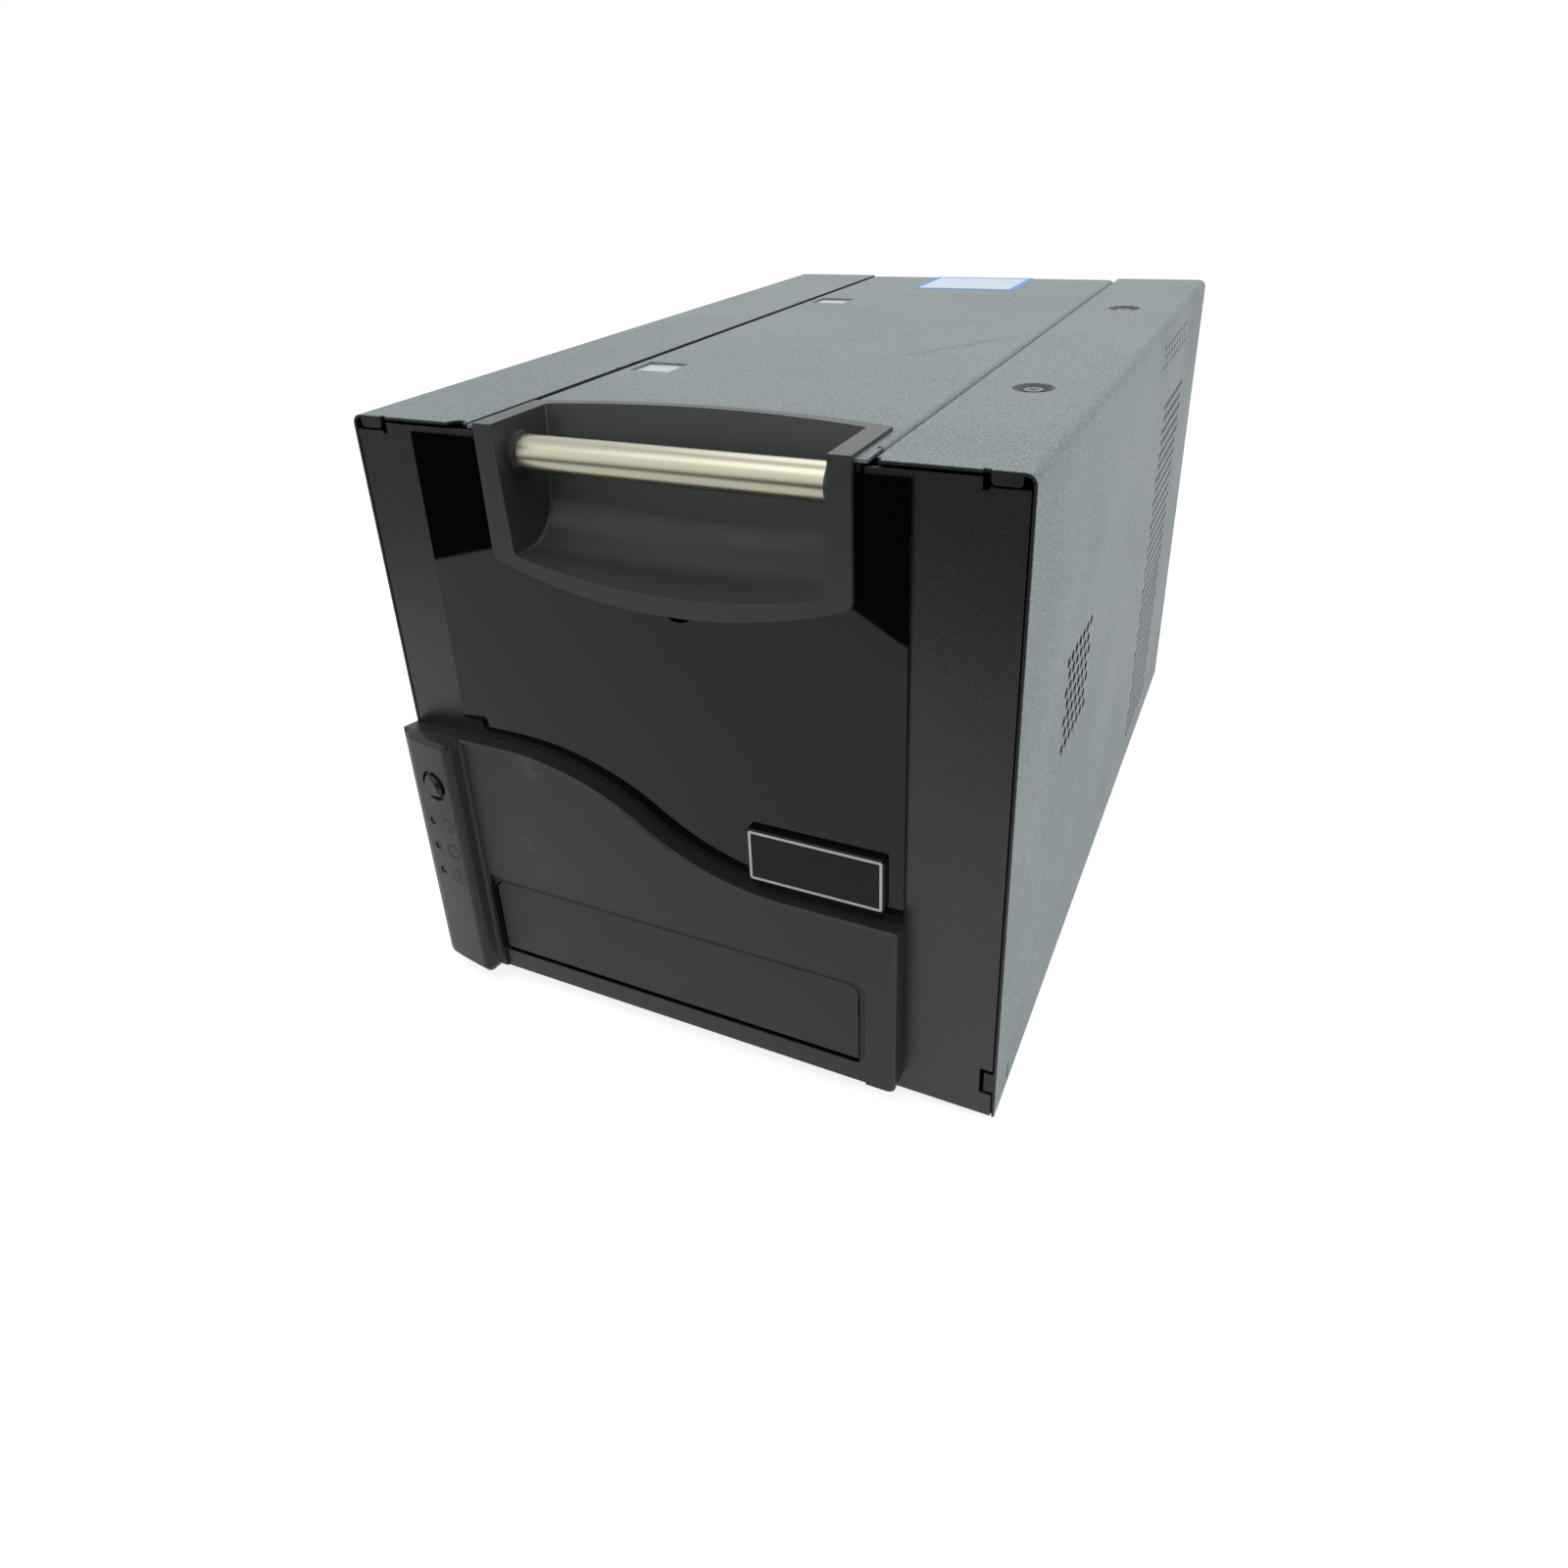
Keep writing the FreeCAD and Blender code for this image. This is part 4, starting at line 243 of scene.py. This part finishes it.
def moulded(name, colour, rough, grain=0.12):
    """Injection-moulded plastic with a fine spark-eroded texture."""
    surface = Surface(name, colour, rough).drift(12.0, 1.08)
    light = surface.noise(1500.0, grain_detail)
    surface.mix(surface.ramp(light, 0.55, 0.8), scaled(colour, 1.2))
    surface.uneven_gloss(25.0, 0.03).relief(2600.0, grain, 0.0001)
    return surface.set(Specular_IOR_Level=0.3)


def brushed(name, colour, rough, along):
    """Bare metal brushed along the direction whose scale is smallest."""
    surface = Surface(name, colour, rough, 1.0).drift(30.0, 0.9)
    return surface.uneven_gloss(60.0, 0.05, along).relief(900.0, 0.12, 0.00006, along)


def plain(name, colour, rough, metal, drift, grain):
    return Surface(name, colour, rough, metal).drift(*drift).relief(*grain)


def wound(name, colour, rough, share):
    """Film on a spool that lies along x: mottled, with fine lines across its turns."""
    surface = Surface(name, colour, rough).drift(300.0, share, 1.0)
    return surface.relief(900.0, 0.1, 0.00005, (0.01, 1, 1))


# Covers, lid and front strip share one dark powder paint. The covers and lid get this much lighter
# tone as painted sheen for their lit top and sides; the strip's darker tone is painted shade for
# the front.
sheen_lit_cover_tone = (116, 129, 132)
# Near black for painted shadow in the gaps round the door.
gap_shadow_black = tone(8, 8, 8)

# Tone, roughness, and how much lighter or darker the specks are
powder_looks = {
    "cover_paint": (sheen_lit_cover_tone, 0.46, 1.8),
    "lid_paint": (sheen_lit_cover_tone, 0.46, 1.8),
    # Painted shade: the same paint as the covers, darker for the shaded front.
    "strip_paint": ((40, 41, 39), 0.36, 1.5),
    "rear_paint": ((52, 54, 53), 0.45, 1.4),
    # Painted shade: inner frames and base pan near black so the vent holes read dark, in place of
    # the shade behind them.
    "liner_paint": ((34, 35, 36), 0.5, 1.3),
}
# Tone, roughness, and grain where it isn't the usual one
moulded_looks = {
    "bezel_plastic": ((46, 48, 45), 0.4),
    "door_plastic": ((45, 46, 42), 0.42),
    "button_plastic": ((34, 36, 34), 0.3, 0.05),
    # Near black for printed glyphs, and for painted shade in the recesses round the lights and in
    # the screw heads.
    "recess_black": ((12, 13, 12), 0.5),
    "slate_plastic": ((50, 54, 55), 0.42),
    "black_plastic": ((36, 37, 38), 0.4),
    "gear_nylon": ((218, 214, 198), 0.35),
    "bush_nylon": ((196, 188, 166), 0.4),
    "lever_green": ((58, 140, 84), 0.35),
}
# Tone, roughness, and the noise scale along x, y and z
brushed_looks = {
    "pin_steel": ((190, 190, 186), 0.3, (0.02, 1.0, 1.0)),
    "hot_roller": ((184, 178, 170), 0.3, (0.03, 1.0, 1.0)),
    "sink_aluminium": ((190, 192, 194), 0.35, (1.0, 0.1, 0.1)),
}
# Tone, roughness, metallic, drift scale and share, relief scale, strength and distance
plain_looks = {
    "screw_steel": ((120, 122, 120), 0.35, 1.0, (300.0, 0.6), (900.0, 0.4, 0.0003)),
    "case_steel": ((150, 152, 152), 0.4, 1.0, (60.0, 0.85), (700.0, 0.1, 0.0001)),
    "badge_black": ((16, 17, 18), 0.2, 0.0, (20.0, 1.3), (900.0, 0.05, 0.0001)),
    "white_print": ((222, 226, 228), 0.4, 0.0, (50.0, 0.95), (600.0, 0.05, 0.0001)),
    "label_paper": ((218, 236, 247), 0.5, 0.0, (30.0, 0.97), (900.0, 0.08, 0.0001)),
    "label_blue": ((70, 150, 226), 0.5, 0.0, (30.0, 0.95), (900.0, 0.08, 0.0001)),
    "pad_grey": ((216, 225, 222), 0.55, 0.0, (60.0, 0.95), (800.0, 0.1, 0.0001)),
    "lens_amber": ((176, 158, 100), 0.25, 0.0, (200.0, 0.9), (900.0, 0.05, 0.0001)),
    "foot_rubber": ((30, 30, 30), 0.7, 0.0, (60.0, 1.4), (900.0, 0.3, 0.0002)),
    "platen_rubber": ((58, 58, 60), 0.6, 0.0, (80.0, 1.2), (900.0, 0.2, 0.0001)),
    "cleaner_rubber": ((110, 134, 170), 0.35, 0.0, (70.0, 1.1), (700.0, 0.1, 0.0001)),
    "board_green": ((30, 96, 58), 0.35, 0.0, (260.0, 1.5), (500.0, 0.2, 0.0002)),
    "magnet_black": ((44, 44, 46), 0.6, 0.0, (60.0, 1.3), (500.0, 0.2, 0.0001)),
}
# Tone, roughness, and how dark the mottling is
wound_looks = {
    "ribbon_film": ((110, 70, 130), 0.25, 0.6),
    "clear_film": ((196, 204, 208), 0.18, 0.85),
}
looks = {
    "zinc_plate": Surface("zinc_plate", tone(150, 154, 156), 0.42, 1.0),
    "bar_steel": Surface("bar_steel", tone(174, 171, 153), 0.3, 1.0),
    "gloss_black": Surface("gloss_black", tone(9, 9, 9), 0.03),
}
for make, rows in ((powder, powder_looks), (moulded, moulded_looks), (brushed, brushed_looks),
                   (plain, plain_looks), (wound, wound_looks)):
    for name, (colour, *values) in rows.items():
        looks[name] = make(name, tone(*colour), *values)

looks["zinc_plate"].drift(40.0, 0.8, 6.0).uneven_gloss(50.0, 0.08).relief(400.0, 0.1, 0.0001)
looks["bar_steel"].drift(20.0, 0.96).relief(2400.0, 0.04, 0.00002, (1.0, 0.05, 0.05))
looks["gloss_black"].drift(6.0, 1.2).uneven_gloss(7.0, 0.01).relief(6.0, 0.02, 0.0005)
for name, level in (("gloss_black", 0.26), ("strip_paint", 0.45), ("slate_plastic", 0.5),
                    ("badge_black", 0.15)):
    looks[name].set(Specular_IOR_Level=level)

# Marks, and painted shade in hollows and gaps, on the covers and mouldings

top_height, cover_half, cover_bend = 265.8, 135 * mm, 4 * mm
screw_x, screw_depths, dimple_radius = 106.3, (112, 312), 8.5 * mm
dimples = [at(screw_x, deep, top_height) for deep in screw_depths]
# Painted shade: inner faces, hole walls, tabs and dimples of the covers painted darker.
looks["cover_paint"].inside(cover_half, base_z + top_height * mm, cover_bend, tone(38, 40, 40),
                            dimples, dimple_radius)

# Ends (x and depth), width, tone and strength of each rubbed line on the lid
for start, end, width, colour, strength in (((24, 141), (80, 232), 5, (70, 76, 78), 0.55),
                                            ((-20, 180), (30, 215), 4, (84, 90, 92), 0.3)):
    looks["lid_paint"].streak(at(*start, top_height), at(*end, top_height), width * mm,
                              tone(*colour), strength)

# Place (x and height), radius and strength of each dusty mark on the bezel face
bezel_depth = -9.5
for x, high, radius, strength in ((-69, 125, 8, 0.5), (-64, 121, 6, 0.35),
                                  (-73, 83, 8, 0.45), (-68, 70, 9, 0.25)):
    looks["bezel_plastic"].patch(at(x, bezel_depth, high), radius * mm, tone(104, 108, 100),
                                 strength)

door_low, door_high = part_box("tray_door")
door_hole = (door_low, door_high + Vector((0, 0, 0.5 * mm)))
corner_radius, shadow_margin = 5.2 * mm, 1.5 * mm
# Painted shadow round the door opening on the bezel.
looks["bezel_plastic"].outline(door_hole, corner_radius, shadow_margin, gap_shadow_black)
# Painted shade on the door's edge faces inside the gap.
shade_start, shade_end = 0.3 * mm, 1.9 * mm
looks["door_plastic"].edges(door_low.y, shade_start, shade_end, gap_shadow_black)

wearers = {
    "cover_paint": ["left_cover", "right_cover"],
    "lid_paint": ["lid_sheet"],
    "strip_paint": ["front_sheet"],
    "rear_paint": ["rear_panel"],
    "liner_paint": ["inner_frame_left", "inner_frame_right", "lid_inner_frame", "base_pan"],
    "zinc_plate": ["deck", "motor_bracket", "print_arm"],
    "bar_steel": ["handle_bar"],
    "pin_steel": ["pivot_pins", "arm_shaft", "catch_strikes", "data_port"],
    "screw_steel": ["cover_screws"],
    "case_steel": ["drive_motor", "tray_motor", "power_supply"],
    "bezel_plastic": ["bezel"],
    "door_plastic": ["tray_door"],
    "button_plastic": ["operator_button"],
    "slate_plastic": ["handle_housing"],
    "gloss_black": ["gloss_panel"],
    "badge_black": ["badge_plate"],
    "label_paper": ["blank_label"],
    "pad_grey": ["window_pads"],
    "lens_amber": ["status_lights"],
    "foot_rubber": ["rubber_feet"],
    "black_plastic": [
        "disc_tray", "tray_hub", "tray_rail_left", "tray_rail_right", "fan_frame", "fan_rotor",
        "power_inlet", "switch_housing", "power_rocker", "print_head",
    ],
    "gear_nylon": ["tray_pinion", "platen_gear", "drive_pinion"],
    "bush_nylon": ["shaft_bushes"],
    "lever_green": ["release_lever"],
    "platen_rubber": ["platen_roller"],
    "cleaner_rubber": ["cleaning_roller"],
    "hot_roller": ["transfer_roller"],
    "sink_aluminium": ["heat_sink"],
    "ribbon_film": ["ribbon_supply_spool", "ribbon_takeup_spool"],
    "clear_film": ["film_supply_spool", "film_takeup_spool"],
    "board_green": ["main_board", "panel_board"],
    "magnet_black": ["catch_magnets"],
}
for look, names in wearers.items():
    for name in names:
        for slot in nodes[name].material_slots:
            slot.material = looks[look].material


# Small pieces

def piece(name, bm, look, body):
    bmesh.ops.recalc_face_normals(bm, faces=bm.faces)
    mesh = bpy.data.meshes.new(name)
    bm.to_mesh(mesh)
    bm.free()
    made = bpy.data.objects.new(name, mesh)
    scene.collection.objects.link(made)
    made.data.materials.append(looks[look].material)
    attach(made, body)


def loft(bm, rows, closed):
    """Skin over rows of points, each a closed section, as a ring or with both ends capped."""
    rows = [[bm.verts.new(point) for point in row] for row in rows]
    sides = len(rows[0])
    for i in range(len(rows) if closed else len(rows) - 1):
        one, two = rows[i], rows[(i + 1) % len(rows)]
        for k in range(sides):
            bm.faces.new((one[k], one[(k + 1) % sides], two[(k + 1) % sides], two[k]))
    if not closed:
        bm.faces.new(rows[0])
        bm.faces.new(rows[-1][::-1])


def rounded(width, height, radius):
    """Points of a rounded rectangle about the origin."""
    steps = 4
    points = []
    for cx, cy, start in ((1, 1, 0), (-1, 1, 90), (-1, -1, 180), (1, -1, 270)):
        for step in range(steps + 1):
            angle = math.radians(start + 90 * step / steps)
            x = cx * (width / 2 - radius) + radius * math.cos(angle)
            y = cy * (height / 2 - radius) + radius * math.sin(angle)
            points.append((x, y))
    return points


def border(name, plate, line, inset, radius, facing, look):
    """Printed line round the edge of a plate on the lid. Facing is 'front' or 'top'."""
    low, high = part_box(plate)
    centre, size = (low + high) / 2, high - low
    if facing == "front":
        up, away, face = Vector((0, 0, 1)), Vector((0, -1, 0)), Vector((centre.x, low.y, centre.z))
    else:
        up, away, face = Vector((0, 1, 0)), Vector((0, 0, 1)), Vector((centre.x, centre.y, high.z))
    wide, tall = size.x - 2 * inset, size.dot(up) - 2 * inset
    print_height, inner_radius = 0.08 * mm, 0.2 * mm
    outer = rounded(wide, tall, radius)
    inner = rounded(wide - 2 * line, tall - 2 * line, inner_radius)
    rows = []
    for near, far in zip(inner, outer):
        near, far = (face + Vector((a, 0, 0)) + up * b for a, b in (near, far))
        lift = away * print_height
        rows.append((near, near + lift, far + lift, far))
    bm = bmesh.new()
    loft(bm, rows, True)
    piece(name, bm, look, "lid")


border("badge_border", "badge_plate", 1.1 * mm, 0.7 * mm, 1.0 * mm, "front", "white_print")
border("label_border", "blank_label", 3.2 * mm, 0.1 * mm, 1.2 * mm, "top", "label_blue")


# Marks on the control column, whose face is turned a little to the left

column_tilt = math.radians(10)
column_in = Vector((math.sin(column_tilt), math.cos(column_tilt), 0))
column_along = Vector((math.cos(column_tilt), -math.sin(column_tilt), 0))
plan_height, before_front = 79, -200
glyph_x, light_x = -113, -123.7
button_x, button_height = -116.85, 106.4
line_width, line_lift, line_sunk = 0.6, 0.05 * mm, 0.02 * mm


def front_of(name, x, height):
    """Place where a line running straight back meets a CAD node."""
    world = nodes[name].matrix_world
    start = world.inverted() @ at(x, before_front, height)
    run = (world.inverted().to_3x3() @ Vector((0, 1, 0))).normalized()
    return world @ nodes[name].ray_cast(start, run)[1]


def on_column(x, height):
    """Point of the column face, which has the same plan at every height."""
    plan = front_of("bezel", x, plan_height)
    return Vector((plan.x, plan.y, base_z + height * mm))


def stroke(bm, height, path, closed):
    """Thin flat line on the column face along points in millimetres about a glyph's middle."""
    last = len(path) - 1
    rows = []
    for i, (x, up) in enumerate(path):
        before = path[i - 1] if i or closed else path[i]
        after = path[(i + 1) % len(path)] if i < last or closed else path[i]
        run = Vector((after[0] - before[0], after[1] - before[1])).normalized() * line_width / 2
        left = on_column(glyph_x + x - run.y, height + up + run.x)
        right = on_column(glyph_x + x + run.y, height + up - run.x)
        lift, sunk = -column_in * line_lift, column_in * line_sunk
        rows.append((left + lift, left + sunk, right + sunk, right + lift))
    loft(bm, rows, closed)


def arc(radius, start, end, steps=14, centre=(0, 0)):
    points = []
    for i in range(steps + 1):
        angle = math.radians(start + (end - start) * i / steps)
        points.append((centre[0] + radius * math.cos(angle), centre[1] + radius * math.sin(angle)))
    return points


# A line drawing for each light: its height, and its lines with True where they close on themselves
circle = arc(3.6, 0, 345, 23)
glyphs = {
    "glyph_supply": (86.5, (arc(3.4, -20, 190), False), (arc(1.0, 0, 330, 9, (0.6, -2.6)), True)),
    "glyph_disc": (72.5, (circle, True), (arc(3.6, 200, 340, 9, (0.0, 0.9)), False)),
    "glyph_power": (58.5, (circle, True), ([(0.0, 2.2), (0.0, -2.2)], False)),
}
for name, (height, *strokes) in glyphs.items():
    bm = bmesh.new()
    for path, closed in strokes:
        stroke(bm, height, path, closed)
    piece(name, bm, "recess_black", "chassis")


def tube_ring(name, centre, radius, thick, look, body, steps):
    """Rounded ring lying along the column face."""
    out, up = -column_in, Vector((0, 0, 1))
    sides = 8
    rows = []
    for i in range(steps):
        turn = 2 * math.pi * i / steps
        spoke = column_along * math.cos(turn) + up * math.sin(turn)
        row = []
        for k in range(sides):
            angle = 2 * math.pi * k / sides
            section = spoke * math.cos(angle) + out * math.sin(angle)
            row.append(centre + spoke * radius + section * thick)
        rows.append(row)
    bm = bmesh.new()
    loft(bm, rows, True)
    for face in bm.faces:
        face.smooth = True
    piece(name, bm, look, body)


# Painted shade: a black ring round each light in place of the shade of the recess it sits in.
light_radius, light_thick, light_sunk = 1.6 * mm, 0.3 * mm, 0.15 * mm
for number, height in enumerate((85.9, 72.4, 58.4)):
    middle = on_column(light_x, height) + column_in * light_sunk
    tube_ring("light_shade_ring_%d" % number, middle, light_radius, light_thick, "recess_black",
              "chassis", 20)

cap_radius, cap_thick, cap_sunk = 2.6 * mm, 0.12 * mm, 0.1 * mm
middle = front_of("operator_button", button_x, button_height) + column_in * cap_sunk
tube_ring("button_ring", middle, cap_radius, cap_thick, "bezel_plastic", "button", 32)


# Painted shade: flat black crosses in the heads of the screws, turned a little, in place of the
# shaded cross recesses

arm_half, arm_end = 0.5 * mm, 2.4 * mm
quarter = ((arm_half, arm_half), (arm_half, arm_end), (-arm_half, arm_end))
cross_lift, cross_sunk = Vector((0, 0, 0.02 * mm)), Vector((0, 0, 0.01 * mm))
screw_turn = math.atan2(0.6, 0.8)
screw_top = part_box("cover_screws")[1].z
for number, deep in enumerate(screw_depths):
    middle = Vector((screw_x * mm, front_y + deep * mm, screw_top))
    section = []
    for turn in range(4):
        spin = Matrix.Rotation(screw_turn + turn * math.pi / 2, 3, "Z")
        section += [middle + spin @ Vector((a, b, 0)) for a, b in quarter]
    bm = bmesh.new()
    loft(bm, [[point - cross_sunk for point in section],
              [point + cross_lift for point in section]], False)
    piece("screw_cross_shade_%d" % number, bm, "recess_black", "chassis")


# Camera, fitted to the photograph

view = bpy.data.cameras.new("view")
view.sensor_width = 36.0
view.lens = 25.028
view.shift_x = 0.00641
view.shift_y = -0.06903
view.clip_start = 0.01
camera = bpy.data.objects.new("view", view)
camera.location = (0.20262, -0.51910, 0.36404)
camera.rotation_euler = Euler([math.radians(a) for a in (63.2104, 2.3271, 25.5264)], "XYZ")
scene.collection.objects.link(camera)
scene.camera = camera
scene.view_settings.view_transform = "Standard"


# Floor, world, flag and lamps

white = (1, 1, 1, 1)


def matt(name, grey, rough, specular):
    made = bpy.data.materials.new(name)
    made.use_nodes = True
    shader = made.node_tree.nodes["Principled BSDF"]
    shader.inputs["Base Color"].default_value = (grey, grey, grey, 1)
    shader.inputs["Roughness"].default_value = rough
    shader.inputs["Specular IOR Level"].default_value = specular
    return made


def staged(name, points, faces, material):
    mesh = bpy.data.meshes.new(name)
    mesh.from_pydata(points, [], faces)
    made = bpy.data.objects.new(name, mesh)
    made.data.materials.append(material)
    scene.collection.objects.link(made)
    return made


def seen_rays(tree):
    """One for rays from the camera, from glossy surfaces and through glass, otherwise nought."""
    path = tree.nodes.new("ShaderNodeLightPath")
    total = path.outputs["Is Camera Ray"]
    for kind in ("Is Glossy Ray", "Is Transmission Ray"):
        added = tree.nodes.new("ShaderNodeMath")
        added.operation = "ADD"
        added.use_clamp = True
        tree.links.new(total, added.inputs[0])
        tree.links.new(path.outputs[kind], added.inputs[1])
        total = added.outputs["Value"]
    return total


def glow_seen(tree, strength):
    """Adds plain white to what the camera and reflections see, so that a surface reads white."""
    glow = tree.nodes.new("ShaderNodeEmission")
    glow.inputs["Color"].default_value = white
    gain = tree.nodes.new("ShaderNodeMath")
    gain.operation = "MULTIPLY"
    gain.inputs[1].default_value = strength
    tree.links.new(seen_rays(tree), gain.inputs[0])
    tree.links.new(gain.outputs["Value"], glow.inputs["Strength"])
    both = tree.nodes.new("ShaderNodeAddShader")
    tree.links.new(tree.nodes["Principled BSDF"].outputs["BSDF"], both.inputs[0])
    tree.links.new(glow.outputs["Emission"], both.inputs[1])
    tree.links.new(both.outputs["Shader"], tree.nodes["Material Output"].inputs["Surface"])


floor_paint = matt("floor", 0.5, 0.9, 0.1)
glow_seen(floor_paint.node_tree, 0.82)
reach = 4
staged("floor", [(-reach, -reach, 0), (reach, -reach, 0), (reach, reach, 0), (-reach, reach, 0)],
       [(0, 1, 2, 3)], floor_paint)

world = bpy.data.worlds.new("studio")
scene.world = world
world.use_nodes = True
sky = world.node_tree
sky_mix = sky.nodes.new("ShaderNodeMixShader")
sky.links.new(seen_rays(sky), sky_mix.inputs["Fac"])
for shade, strength, socket in ((sky.nodes["Background"], 0.3, 1),
                                (sky.nodes.new("ShaderNodeBackground"), 1.0, 2)):
    shade.inputs["Color"].default_value = white
    shade.inputs["Strength"].default_value = strength
    sky.links.new(shade.outputs["Background"], sky_mix.inputs[socket])
sky.links.new(sky_mix.outputs["Shader"], sky.nodes["World Output"].inputs["Surface"])

# A dark flag that only reflections see gives the gloss panel its black upper corners.
# It stands on the floor along this plan: x, y and the height of its top edge.

flag_plan = (
    (-0.80, -0.35, 0.18), (-0.62, -0.52, 0.18), (-0.56, -0.62, 0.18), (-0.50, -0.70, 0.18),
    (-0.40, -0.745, 0.18), (-0.30, -0.755, 0.2), (-0.20, -0.73, 0.2), (-0.137, -0.695, 0.22),
    (-0.057, -0.628, 0.26), (0.05, -0.56, 0.4), (0.25, -0.50, 0.5), (0.60, -0.45, 0.5),
)
flag_points = [(x, y, z) for x, y, top in flag_plan for z in (0.0, top)]
flag_faces = [(i, i + 2, i + 3, i + 1) for i in range(0, 2 * len(flag_plan) - 2, 2)]
flag = staged("flag", flag_points, flag_faces, matt("flag", 0.004, 1.0, 0.0))
flag.visible_camera = False
flag.visible_diffuse = False
flag.visible_shadow = False

# Place, what it points at, width, height and watts of each lamp
lamps = {
    "overhead": ((0.0, 0.9, 1.5), (0, 0.05, 0.2), 1.8, 1.2, 10),
    "high_front": ((-0.2, -0.72, 1.25), (0, -0.2, 0.2), 1.0, 0.6, 3.6),
    "right_side": ((0.75, -0.14, 0.42), (0.135, -0.14, 0.13), 0.3, 0.6, 1.6),
    "left_front": ((-0.6, -1.05, 0.75), (0, -0.2, 0.2), 1.2, 0.8, 1.3),
}
for name, (place, target, width, height, power) in lamps.items():
    lamp = bpy.data.lights.new(name, "AREA")
    lamp.shape = "RECTANGLE"
    lamp.size = width
    lamp.size_y = height
    lamp.energy = power
    stand = bpy.data.objects.new(name, lamp)
    stand.location = place
    aim = Vector(target) - Vector(place)
    stand.rotation_euler = aim.to_track_quat("-Z", "Y").to_euler()
    scene.collection.objects.link(stand)
